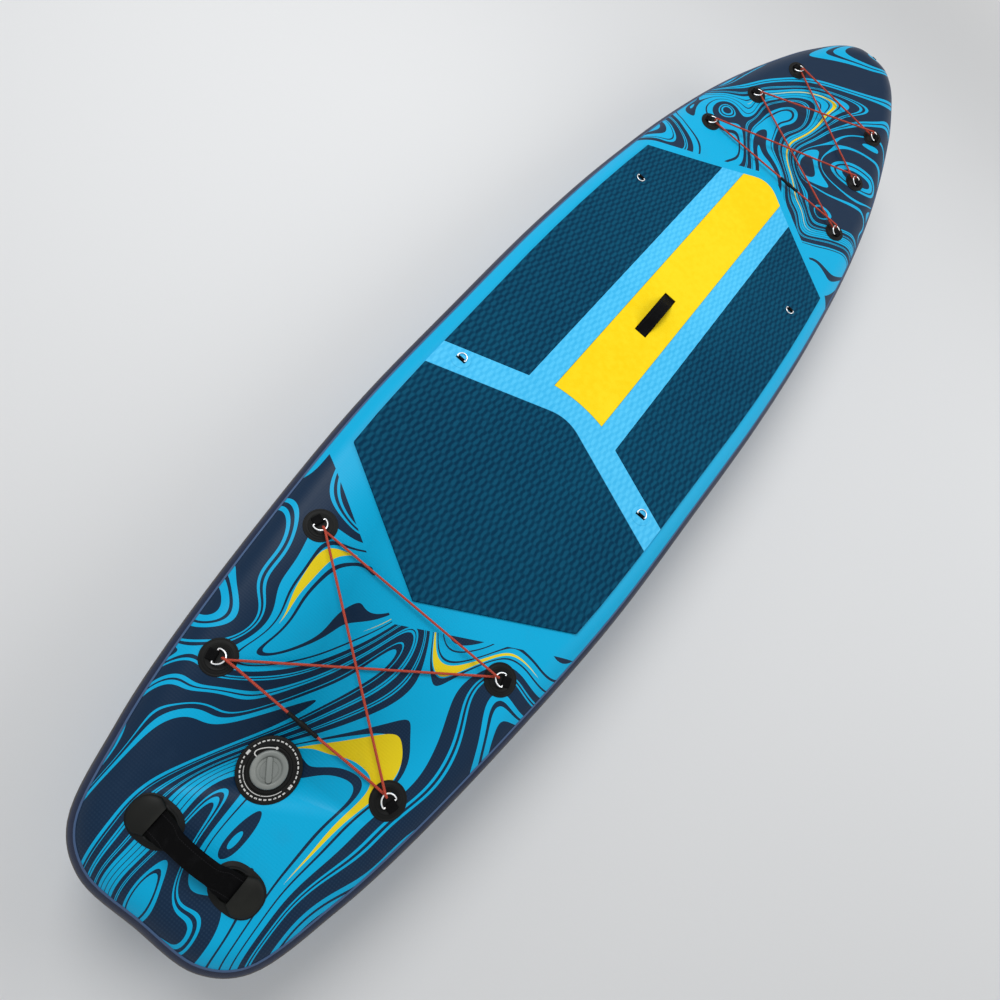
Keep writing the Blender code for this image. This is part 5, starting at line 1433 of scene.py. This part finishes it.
def make_valve_seat():
    patch = turned(
        [
            (0.0402, 0.0017), (0.0450, 0.0017), (0.0455, 0.0020), (0.0462, 0.0020), (0.0467, 0.0017),
            (0.0520, 0.0017), (0.0525, 0.0020), (0.0532, 0.0020), (0.0537, 0.0017),
            (VALVE_PATCH_RADIUS - 0.0010, 0.0016), (VALVE_PATCH_RADIUS, 0.0008),
            (VALVE_PATCH_RADIUS, SEAT_GAP), (0.0270, SEAT_GAP), (0.0270, 0.0006), (0.0402, 0.0006),
        ],
        VALVE, 96,
    )
    valve_part("valve_patch_printed", patch, VALVE_PRINT, "valve_patch")
    flange = turned(
        [
            (0.0223, 0.0038), (0.0330, 0.0038), (0.0336, 0.0035), (0.0348, 0.0035), (0.0354, 0.0038),
            (0.0378, 0.0038), (0.0390, 0.0034), (0.0397, 0.0026), (0.0400, 0.0016), (0.0400, 0.0008),
            (0.0259, 0.0008), (0.0259, -0.0012), (0.0223, -0.0012),
        ],
        VALVE, 72,
    )
    valve_part("valve_flange_turned", flange, RUBBER, "valve_flange")


def make_valve_body():
    body = turned(
        [
            (0.0186, 0.0028), (0.0190, 0.0026), (0.0216, 0.0026), (0.0220, 0.0022), (0.0220, -0.0018),
            (0.0400, -0.0018), (0.0400, -0.0043), (0.0220, -0.0043), (0.0220, -0.0416), (0.0216, -0.0420),
            (0.0140, -0.0420), (0.0140, -0.0390), (0.0190, -0.0390), (0.0190, -0.0100), (0.0186, -0.0096),
        ],
        steps=64,
    )
    hub = turned([(0.0034, -0.0190), (0.0064, -0.0190), (0.0064, -0.0220), (0.0034, -0.0220)], steps=32)
    join(body, hub)
    for turn in range(SPOKES):
        spin = Matrix.Rotation(math.tau * turn / SPOKES, 4, "Z")
        spoke = block((0.0150, 0.0025, 0.0024), spin @ Matrix.Translation((0.0125, 0, -0.0205)))
        join(body, spoke)
    bmesh.ops.transform(body, matrix=VALVE, verts=body.verts)
    valve_part("valve_body_turned", body, RUBBER, "valve_body")


def make_valve_stem():
    stem = turned(
        [
            (0, -0.0066), (0.0030, -0.0062), (0.0070, -0.0060), (0.0078, -0.0063), (0.0080, -0.0070),
            (0.0078, -0.0079), (0.0030, -0.0080), (0.0030, -0.0423), (0.0172, -0.0423), (0.0175, -0.0426),
            (0.0175, -0.0450), (0.0172, -0.0453), (0, -0.0453),
        ],
        VALVE, 40,
    )
    valve_part("valve_stem_turned", stem, CAP_PLASTIC, "valve_stem", "valve_stem")


make_valve_seat()
make_valve_body()
make_valve_stem()
print("valve at", VALVE_Y)

# %% [markdown]
# The return spring sits between the hub and the stem's button. Its coil is swept along a helix. One end
# stays on the hub and the other goes down with the stem. The piece rides on the hull, with a mesh of its
# own.

# %% Valve spring
SPRING_WIRE = 0.0009
SPRING_TURNS = 4
SPRING_RADIUS = 0.0043
SPRING_ENDS = (-0.0190, -0.0080)


def make_valve_spring():
    """The coil between the hub and the button's underside, on a mesh of its own."""
    low, high = SPRING_ENDS
    margin = SEAT_GAP + SPRING_WIRE / 2
    path = []
    steps = 24 * SPRING_TURNS
    for i in range(steps + 1):
        turn = math.tau * SPRING_TURNS * i / steps
        height = low + margin + (high - low - 2 * margin) * i / steps
        x, y = SPRING_RADIUS * math.cos(turn), SPRING_RADIUS * math.sin(turn)
        path.append(VALVE @ Vector((x, y, height)))
    bm = sweep(path, round_section(SPRING_WIRE / 2), (0, 0, 1), 10)
    coil = piece("valve_spring_coil", bm, STEEL, stands_for=["valve_spring"], smooth=70)
    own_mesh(coil)


make_valve_spring()
print("spring", SPRING_TURNS, "turns")

# %% [markdown]
# The cap is a dished disc with a skirt that fills the flange's bore, and a bar across the dish that
# fingers turn. The bar is a box. Its ends are rounded first, its sides are drawn in towards the top, and
# then all its edges are softened.

# %% Valve cap
CAP_RADIUS = 0.0325
CAP_LOW = 0.0041
CAP_TOP = 0.0116
CAP_DISH = 0.0098
CAP_BAR = (0.0430, 0.0125, 0.0066)
CAP_BAR_TURN = math.radians(130.0)


def make_valve_cap():
    bm = turned(
        [
            (0, CAP_DISH - 0.0016), (0.0150, CAP_DISH - 0.0016), (0.0156, CAP_DISH - 0.0009),
            (0.0164, CAP_DISH - 0.0009), (0.0170, CAP_DISH - 0.0016), (0.0205, CAP_DISH - 0.0016),
            (0.0222, CAP_DISH), (0.0236, CAP_TOP - 0.0004), (0.0246, CAP_TOP), (0.0290, CAP_TOP),
            (0.0306, CAP_TOP - 0.0004), (0.0318, CAP_TOP - 0.0014), (CAP_RADIUS, CAP_TOP - 0.0030),
            (CAP_RADIUS, CAP_LOW + 0.0005), (CAP_RADIUS - 0.0005, CAP_LOW), (0.0186, CAP_LOW),
            (0.0186, -0.0096), (0.0182, -0.0100), (0.0168, -0.0100), (0.0164, -0.0096),
            (0.0164, CAP_LOW + 0.0010), (0, CAP_LOW + 0.0010),
        ],
        steps=96,
    )
    bar = block(CAP_BAR, Matrix.Translation((0, 0, CAP_DISH + 0.0015)))
    soften(bar, 0.0046, 6, edges=upright_edges(bar))
    for vert in bar.verts:
        if vert.co.z > CAP_DISH:
            vert.co.y *= 0.74
    soften(bar, 0.0011, 3, 35)
    bmesh.ops.rotate(bar, verts=bar.verts, cent=(0, 0, 0), matrix=Matrix.Rotation(CAP_BAR_TURN, 3, "Z"))
    join(bm, bar)
    bmesh.ops.transform(bm, matrix=VALVE, verts=bm.verts)
    valve_part("valve_cap_turned", bm, CAP_PLASTIC, "valve_cap", "valve_cap")


make_valve_cap()
print("cap", 2 * CAP_RADIUS, "m across")

# %% [markdown]
# A thin white tether ties the cap to the flange, so that it isn't lost. One end stays and the other goes
# with the cap, so the cord rides on neither body.

# %% Cap tether
TETHER_RADIUS = 0.0010
TETHER_KNOTS = (
    (-0.0320, 0.0036, 0.0080), (-0.0352, 0.0036, 0.0092), (-0.0385, 0.0052, 0.0086),
    (-0.0393, 0.0096, 0.0068), (-0.0366, 0.0150, 0.0054), (-0.0322, 0.0205, 0.0050),
    (-0.0266, 0.0256, 0.0049), (-0.0200, 0.0302, 0.0049), (-0.0158, 0.0325, 0.0046),
)


def make_tether():
    path = [VALVE @ point for point in smooth_path([Vector(knot) for knot in TETHER_KNOTS], 8)]
    tether = sweep(path, round_section(TETHER_RADIUS), (0, 0, 1), 12)
    anchor = [(0, 0.0056), (0.0020, 0.0055), (0.0025, 0.0050), (0.0025, 0.0040), (0, 0.0040)]
    join(tether, turned(anchor, VALVE @ Matrix.Translation((-0.0140, 0.0335, 0)), 24))
    cord = piece("valve_tether_cord", tether, TETHER_PLASTIC, None, ["valve_tether"])
    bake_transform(cord)


make_tether()
print("tether of", len(TETHER_KNOTS), "knots")

# %% [markdown]
# ## D-rings
# Each ring's joint says where its bar is and which way it runs, and its packed solid says which way its
# bow points. From these two every patch, webbing loop and cord takes its place. A ring is bent from
# round wire, so it is a round section swept along a closed path: a straight bar and a bow.

# %% Rings
RING_WIDTH = 0.028
RING_REACH = 0.021
RING_WIRE = 0.0034
PAD_RING_WIDTH = 0.024
PAD_RING_REACH = 0.016
PAD_RING_WIRE = 0.0030
RINGS = [name[: -len("_hinge")] for name in JOINTS if name.endswith("_ring_hinge")]


def ring_axes(name):
    """A ring's own frame on the board: X along its bar, Y towards its bow."""
    joint = JOINTS[name + "_hinge"]
    bar = Vector(joint["pos_m"]) - STAND
    across = Vector(joint["axis"])
    offsets = [vert.co - STAND - bar for vert in frame["nodes"][name].data.vertices]
    reach = sum(offsets, Vector()) / len(offsets)
    ahead = (reach - across * reach.dot(across)).normalized()
    return Matrix.Translation(bar) @ Matrix((across, ahead, across.cross(ahead))).transposed().to_4x4()


def ring_path(width, reach):
    """The closed middle line of a D-ring."""
    half = width / 2
    turns = [math.pi * i / 12 for i in range(13)]
    bow = [Vector((half * math.cos(turn), reach * (0.16 + 0.84 * math.sin(turn)), 0)) for turn in turns]
    bar = [Vector((half * share, 0, 0)) for share in (-0.94, -0.5, 0.0, 0.5, 0.94)]
    return smooth_path(bow + bar, 3, closed=True)


def make_ring(name):
    width, reach, wire = RING_WIDTH, RING_REACH, RING_WIRE
    if name.startswith("pad_") or name == "nose_tow_ring":
        width, reach, wire = PAD_RING_WIDTH, PAD_RING_REACH, PAD_RING_WIRE
    axes = ring_axes(name)
    path = [axes @ point for point in ring_path(width, reach)]
    bm = sweep(path, round_section(wire / 2), axes.col[2].to_3d(), 16, closed=True)
    piece(f"{name}_wire", bm, STEEL, name, [name], 60)


print(len(RINGS), "rings, the large ones", RING_WIDTH, "m wide")

# %% [markdown]
# Under each bungee ring a round rubber patch is glued to the deck, with a raised cover over its middle.
# The webbing folds round the ring's bar, and both its legs are sewn down on the cover. So the strap runs
# out along the patch, round the bar and back over itself, with just the play the ring needs in the fold.

# %% Deck patches
WEB_WALL = 0.0016
WEB_WIDTH = 0.020
RING_PLAY = 0.0004
RING_TILT = math.radians(20.0)
RING_SETBACK = 0.006
RING_BAR_HEIGHT = 0.0065
COVER_TOP = 0.0026
PATCH_RADIUS = {"tail": 0.035, "nose": 0.032}


def fold(y, z, radius, degrees):
    """Points round a bar at (y, z), at these angles from +Y towards +Z."""
    turns = [math.radians(angle) for angle in degrees]
    return [Vector((0, y + radius * math.cos(turn), z + radius * math.sin(turn))) for turn in turns]


def web_loop(axes, bar_y, bar_z, hole, foot, tail, width):
    """Webbing that folds round the bar: out along the patch, round and back to the tail."""
    middle = hole + WEB_WALL / 2
    low = foot + WEB_WALL / 2
    path = [Vector((0, bar_y - back, low)) for back in (tail, tail * 0.6, 0.003)]
    path += fold(bar_y, bar_z, middle, range(-80, 111, 19))
    back = low + WEB_WALL
    path += [
        Vector((0, bar_y - middle * 1.9, bar_z + middle * 0.30)), Vector((0, bar_y - middle * 3.0, back)),
        Vector((0, bar_y - tail * 0.9, back)), Vector((0, bar_y - tail - 0.0005, back)),
    ]
    path = [axes @ point for point in smooth_path(path, 3)]
    return sweep(path, flat_section(width, WEB_WALL), axes.col[2].to_3d(), 32)


def deck_axes(ring):
    """The frame of the deck below a tilted ring, with its origin at the middle of the patch."""
    level = ring @ Matrix.Rotation(-RING_TILT, 4, "X")
    return level @ Matrix.Translation((0, RING_SETBACK, -RING_BAR_HEIGHT))


def patch_pieces(name, disc, web):
    """The disc of a ring's patch and its webbing, named for the ring."""
    node = name.replace("_ring", "_patch")
    piece(f"{node}_disc", disc, RUBBER, stands_for=[node], smooth=30)
    piece(f"{node}_webbing", web, WEBBING)


def make_deck_patch(name):
    radius = PATCH_RADIUS[name[:4]]
    base = deck_axes(ring_axes(name))
    cover = radius * 0.70
    profile = [
        (0, COVER_TOP), (cover - 0.0030, COVER_TOP), (cover - 0.0022, 0.0030), (cover - 0.0010, 0.0030),
        (cover, 0.0023), (cover + 0.0008, 0.0016), (radius - 0.0050, 0.0016), (radius - 0.0044, 0.0013),
        (radius - 0.0032, 0.0013), (radius - 0.0026, 0.0016), (radius - 0.0010, 0.0015), (radius, 0.0008),
        (radius, SEAT_GAP), (0, SEAT_GAP),
    ]
    hole = RING_WIRE / 2 + RING_PLAY
    foot = COVER_TOP + 0.0001
    web = web_loop(base, -RING_SETBACK, RING_BAR_HEIGHT, hole, foot, radius * 0.42, WEB_WIDTH)
    patch_pieces(name, turned(profile, base, 64), web)


print("deck patches", [round(2 * radius, 3) for radius in PATCH_RADIUS.values()], "m across")

# %% [markdown]
# A pad ring lies in a slot of the foam. Its patch is a plain disc under the foam, and the webbing comes
# up through the slot, over the bar and down again, so it is one upright fold with both legs on the disc.

# %% Pad patches, and all the rings
PAD_BAR_HEIGHT = 0.0071
PAD_DISC_TOP = 0.0018
PAD_WEB_WIDTH = 0.017


def make_pad_patch(name):
    base = ring_axes(name) @ Matrix.Translation((0, 0, -PAD_BAR_HEIGHT))
    low, high = SEAT_GAP, PAD_DISC_TOP
    profile = [(0, high), (PAD_PATCH_RADIUS, high), (PAD_PATCH_RADIUS, low), (0, low)]
    middle = PAD_RING_WIRE / 2 + RING_PLAY + WEB_WALL / 2
    halfway = (PAD_DISC_TOP + PAD_BAR_HEIGHT) / 2
    up = [Vector((0, -middle, level)) for level in (PAD_DISC_TOP, halfway)]
    down = [Vector((0, middle, level)) for level in (halfway, PAD_DISC_TOP)]
    path = up + fold(0, PAD_BAR_HEIGHT, middle, range(180, -1, -20)) + down
    path = [base @ point for point in smooth_path(path, 3)]
    across = base.to_3x3() @ Vector((0, -1, 0))
    web = sweep(path, flat_section(PAD_WEB_WIDTH, WEB_WALL), across, 32)
    patch_pieces(name, turned(profile, base, 48), web)


for ring in RINGS:
    make_ring(ring)
    if ring.startswith("pad_"):
        make_pad_patch(ring)
    elif ring != "nose_tow_ring":
        make_deck_patch(ring)
print("pad patches", 2 * PAD_PATCH_RADIUS, "m across")

# %% [markdown]
# The tow patch is rolled over the nose tip. A bent disc would crease there. So it is a grid whose
# corners are drawn in, and each of its points is placed by its distance across and its angle round the
# rail.

# %% Tow patch
TOW_ANGLE = 66.0
TOW_PATCH_HALF = 0.024
TOW_WEB_TAIL = 0.012


def rail_point(across, angle, outward):
    """A point on the nose tip's rail: across the board, at this angle from the top, off the surface."""
    turn = math.radians(angle)
    radius = RAIL_RADIUS + outward
    loop = [point for point in plan_loop(RAIL_RADIUS - radius * math.sin(turn)) if point.y > 0]
    y = max(point.y for point in loop)
    for right, left in zip(loop, loop[1:]):
        if left.x <= across <= right.x and right.x > left.x:
            y = right.y + (left.y - right.y) * (across - right.x) / (left.x - right.x)
    return Vector((across, y, RAIL_RADIUS + radius * math.cos(turn) + lift(y)))


def make_tow_patch():
    half_angle = math.degrees(TOW_PATCH_HALF / RAIL_RADIUS)
    bm = bmesh.new()
    bmesh.ops.create_grid(bm, x_segments=14, y_segments=14, size=1.0)
    for vert in bm.verts:
        u, v = vert.co.x, vert.co.y
        reach = max(abs(u), abs(v))
        shrink = reach / (abs(u) ** 5 + abs(v) ** 5) ** 0.2 if reach > 0 else 1.0
        vert.co = rail_point(TOW_PATCH_HALF * u * shrink, TOW_ANGLE - half_angle * v * shrink, 0.0010)
    bmesh.ops.recalc_face_normals(bm, faces=bm.faces)
    if sum(face.normal.y for face in bm.faces) < 0:
        bmesh.ops.reverse_faces(bm, faces=bm.faces)
    patch = piece("nose_tow_patch_rolled", bm, RUBBER, stands_for=["nose_tow_patch"])
    add_wall(patch, 0.0013, 1.0)
    round_edges(patch, 0.0005, 2)
    ring = ring_axes("nose_tow_ring") @ Matrix.Rotation(math.radians(8), 4, "X")
    hole = PAD_RING_WIRE / 2 + RING_PLAY
    web = web_loop(ring, 0, 0, hole, -(hole + WEB_WALL), TOW_WEB_TAIL, PAD_WEB_WIDTH)
    piece("nose_tow_webbing", web, WEBBING)


make_tow_patch()
print("tow patch", 2 * TOW_PATCH_HALF, "m wide")

# %% [markdown]
# ## Bungees
# Each bungee is one length of elastic cord, laced round its rings and closed by a joiner. The cord
# passes over or under each bow in a half turn and runs straight to the next. A curve could pass through
# the rings' middles, but then the cord would cut the wire: so each half turn is measured from the bow,
# and leaves the room that the ring's play needs.

# %% Lacing
CORD_DIAMETER = 0.005
TAIL_LOOP = ("tail_rear_left", "tail_front_right", "tail_front_left", "tail_rear_right")
NOSE_LOOP = (
    "nose_rear_left", "nose_mid_right", "nose_front_left",
    "nose_front_right", "nose_mid_left", "nose_rear_right",
)
TAIL_LEAVES = (-1, 1, 1, -1)
NOSE_LEAVES = (1, -1, 1, 1, -1, 1)


def half_turn(name, leaves):
    """The cord's half turn round a ring's bow, drawn out by as far as the ring's play moves the bow."""
    ring = ring_axes(name + "_ring")
    level = (ring @ Matrix.Rotation(-RING_TILT, 4, "X")).to_3x3()
    bow = ring @ Vector((0, RING_REACH, 0))
    clearance = (CORD_DIAMETER + RING_WIRE) / 2 + SEAT_GAP
    swing = math.radians(JOINTS[name + "_ring_hinge"]["range_deg"][1])
    play = ring.to_3x3() @ Vector((0, 0, RING_REACH * math.sin(swing) + SEAT_GAP))
    middle = 180 + round(math.degrees(RING_TILT))
    wrap = []
    for degrees in (90, 112, 135, 158, 180, middle, 222, 246, 270):
        turn = math.radians(degrees)
        side = (degrees < middle) - (degrees > middle)
        wrap.append(bow + level @ Vector((0, math.cos(turn), math.sin(turn))) * clearance + play * side)
    return wrap if leaves < 0 else wrap[::-1]


print("laced round", len(TAIL_LOOP), "and", len(NOSE_LOOP), "rings")

# %% [markdown]
# The cord's ends meet in a ribbed rubber joiner with a thicker middle. Its profile is written for one
# half and mirrored, then spun, and the tube is turned to lie along the cord.

# %% Bungees
JOINER_LENGTH = 0.070
JOINER_SOCKET = 0.028
JOINER_RIBS = 5


def joiner_profile():
    half = [(0.0028, -0.0350), (0.0034, -0.0348), (0.0038, -0.0338)]
    for i in range(JOINER_RIBS):
        rib = -0.0320 + 0.0048 * i
        half += [(0.0038, rib), (0.0042, rib + 0.0008), (0.0042, rib + 0.0022), (0.0038, rib + 0.0030)]
    middle = [(0.0042, -0.0082), (0.0052, -0.0066), (0.0055, -0.0040)]
    middle += [(radius, -height) for radius, height in reversed(middle)]
    return half + middle + [(radius, -height) for radius, height in reversed(half)]


def make_bungee(name, loop, leaves, joiner_offset):
    """Cord and joiner. Each ring is reached on the side that the cord doesn't leave by."""
    turns = [half_turn(ring, side) for ring, side in zip(loop, leaves)]
    first, last = turns[0][0], turns[-1][-1]
    along = (first - last).normalized()
    joiner = (first + last) / 2 + along * (joiner_offset / along.x if abs(along.x) > 0.5 else 0)
    inside = JOINER_LENGTH / 2 - JOINER_SOCKET + SEAT_GAP
    outside = JOINER_LENGTH / 2 + 0.01
    route = [joiner + along * inside, joiner + along * outside, *turns[0]]
    for before, wrap in zip(turns, turns[1:]):
        route += [before[-1].lerp(wrap[0], share) for share in (0.04, 0.25, 0.5, 0.75, 0.96)]
        route += wrap
    route += [joiner - along * outside, joiner - along * inside]
    path = smooth_path(route, 3)
    bm = sweep(path, round_section(CORD_DIAMETER / 2), (0, 0, 1), 12)
    piece(f"{name}_bungee_braid", bm, CORD, stands_for=[f"{name}_bungee"], smooth=70)
    place = Matrix.LocRotScale(joiner, along.to_track_quat("Z", "Y"), None)
    tube = turned(joiner_profile(), place, 32)
    node = f"{name}_bungee_joiner"
    piece(f"{name}_joiner_ribbed", tube, RUBBER, stands_for=[node], smooth=40)
    length = sum((after - before).length for before, after in zip(path, path[1:]))
    print(name, "bungee", round(length, 3), "m of cord")


make_bungee("tail", TAIL_LOOP, TAIL_LEAVES, -0.006)
make_bungee("nose", NOSE_LOOP, NOSE_LEAVES, 0.055)

# %% [markdown]
# ## Fins
# A fin is a thin foil whose chord shrinks and sweeps back towards the tip. It could be a flat outline
# with a thickness, but then its edges would be blunt. So it is lofted from foil sections, and its
# outline is a smooth curve through a few of them.

# %% Fin blade
FIN_SECTIONS = (
    (0.0, 0.00, 1.00), (0.2, 0.10, 0.88), (0.45, 0.27, 0.70),
    (0.7, 0.50, 0.49), (0.9, 0.74, 0.30), (1.0, 0.90, 0.17),
)


def foil_loop(bm, front, chord, thickness, height):
    """One section of a fin as a closed loop of edges, leading edge towards +Y."""
    right = []
    for i in range(15):
        share = (1 - math.cos(math.pi * i / 14)) / 2
        fat = 2.6 * math.sqrt(share) * (1 - share) + 0.10 * share
        right.append((min(1.0, fat) * thickness / 2, front - share * chord))
    left = [(-x, y) for x, y in reversed(right[1:-1])]
    tail = [(-right[-1][0], right[-1][1])]
    return edge_loop(bm, [(x, y, height) for x, y in right + tail + left])


def fin_blade(length, root, thickness):
    """A raked blade from its root down to the depth that all the fins reach."""
    marks = smooth_path([Vector(section) for section in FIN_SECTIONS], 4)
    bm = bmesh.new()
    loops = []
    for down, sweep_back, chord in marks:
        thin = thickness * (1 - 0.6 * down)
        height = root - down * (FIN_DEPTH + root)
        loops.append(foil_loop(bm, length / 2 - sweep_back * length, chord * length, thin, height))
    bridge(bm, loops, closed=(0, -1))
    bmesh.ops.recalc_face_normals(bm, faces=bm.faces)
    return bm


def bevelled_block(size, centre, width, segments=3):
    bm = block(size, Matrix.Translation(centre))
    soften(bm, width, segments, 30)
    return bm


print("blade of", len(FIN_SECTIONS), "sections down to", FIN_DEPTH, "m")

# %% [markdown]
# The side fins stand on bases that are glued to the underside. A base is a thin plate with round corners
# and a softened lower edge, and a thicker root carries the blade.

# %% Side fins
SIDE_FIN_Y = -1.170
SIDE_FIN_INSET = 0.150
SIDE_FIN_LENGTH = 0.105
SIDE_FIN_BASE = (0.046, 0.125, 0.0025)
SIDE_FIN_ROOT = (0.0110, 0.098, 0.0050)


def make_side_fin(side, word):
    bm = fin_blade(SIDE_FIN_LENGTH, -0.0015, 0.0070)
    base = block(SIDE_FIN_BASE, Matrix.Translation((0, 0, -0.00155)))
    soften(base, 0.020, 8, edges=upright_edges(base))
    under = [edge for edge in base.edges if all(vert.co.z < -0.002 for vert in edge.verts)]
    soften(base, 0.0009, 3, edges=under)
    join(bm, base)
    join(bm, bevelled_block(SIDE_FIN_ROOT, (0, 0.002, -0.0040), 0.0022))
    x = side * (half_width(SIDE_FIN_Y) - SIDE_FIN_INSET)
    bmesh.ops.translate(bm, verts=bm.verts, vec=(x, SIDE_FIN_Y, 0))
    node = f"side_fin_{word}"
    piece(f"{node}_moulded", bm, FIN_PLASTIC, stands_for=[node])


make_side_fin(-1, "left")
make_side_fin(1, "right")
print("side fins at", SIDE_FIN_Y)

# %% [markdown]
# The centre fin slides in its box. Above the blade it has a foot that fills the box's channel, a tab for
# the screw at the front with an eye round the hole, and a crosswise peg at the back that runs in the
# box's groove.

# %% Centre fin
FIN_BOX_Y = -1.300
CENTER_FIN_LENGTH = 0.130
FIN_FOOT = (0.0092, 0.1196, 0.0144)
FIN_TAB = (0.0092, 0.0272, 0.0060)
FIN_PEG = (0.0152, 0.0100, 0.0052)


def make_center_fin():
    bm = fin_blade(CENTER_FIN_LENGTH, -0.0204, 0.0080)
    join(bm, bevelled_block(FIN_FOOT, (0, 0, -0.0172), 0.0006, 2))
    join(bm, bevelled_block(FIN_TAB, (0, 0.0606, -0.0151), 0.0008, 2))
    eye = [(0.0025, -0.0124), (0.0028, -0.0121), (0.0042, -0.0121), (0.0046, -0.0125)]
    eye += [(0.0046, -0.0177), (0.0042, -0.0181), (0.0028, -0.0181), (0.0025, -0.0178)]
    join(bm, turned(eye, Matrix.Translation((0, 0.0770, 0)), 24))
    join(bm, bevelled_block(FIN_PEG, (0, -0.0507, -0.0080), 0.0012))
    bmesh.ops.translate(bm, verts=bm.verts, vec=(0, FIN_BOX_Y, 0))
    piece("center_fin_moulded", bm, FIN_PLASTIC, "center_fin", ["center_fin"])


make_center_fin()
print("centre fin", CENTER_FIN_LENGTH, "m long at its root")

# %% [markdown]
# ## Solids that stay as packed
# The stitched core, the fin box, its nut and its screw keep their packed shape. Each gets its finish,
# and the hard ones get rounded edges. Their meshes are loose triangles, so they are welded first.

# %% Packed solids
YARN_PITCH = 0.0010


def core_finish():
    finish = Finish("drop_stitch_fabric", roughness=0.85)
    yarns = finish.weave(finish.x, YARN_PITCH)
    finish.colour(finish.mix(finish.noise(8.0, 3.0), paint(205, 205, 200), paint(224, 224, 218)))
    finish.relief(yarns * 0.08 + finish.noise(30.0, 2.0) * 0.2)
    finish.rough(0.82 + yarns * 0.05)
    return finish


def dress(node, finish, width=0.0):
    obj = frame["nodes"][node]
    obj.data.materials.clear()
    obj.data.materials.append(finish.material)
    if width:
        obj.modifiers.new("weld", "WELD").merge_threshold = 0.00001
        round_edges(obj, width, 2, 40).harden_normals = True


dress("drop_stitch_core", core_finish())
dress("center_fin_box", FIN_PLASTIC, 0.0006)
dress("center_fin_nut", BRASS, 0.0004)
dress("center_fin_screw", STEEL, 0.0003)
print("dressed 4 packed solids")

# %% [markdown]
# ## Sizes
# The dressed board should fill the same box as the packed one. The packed box is measured and printed when
# the board is loaded.
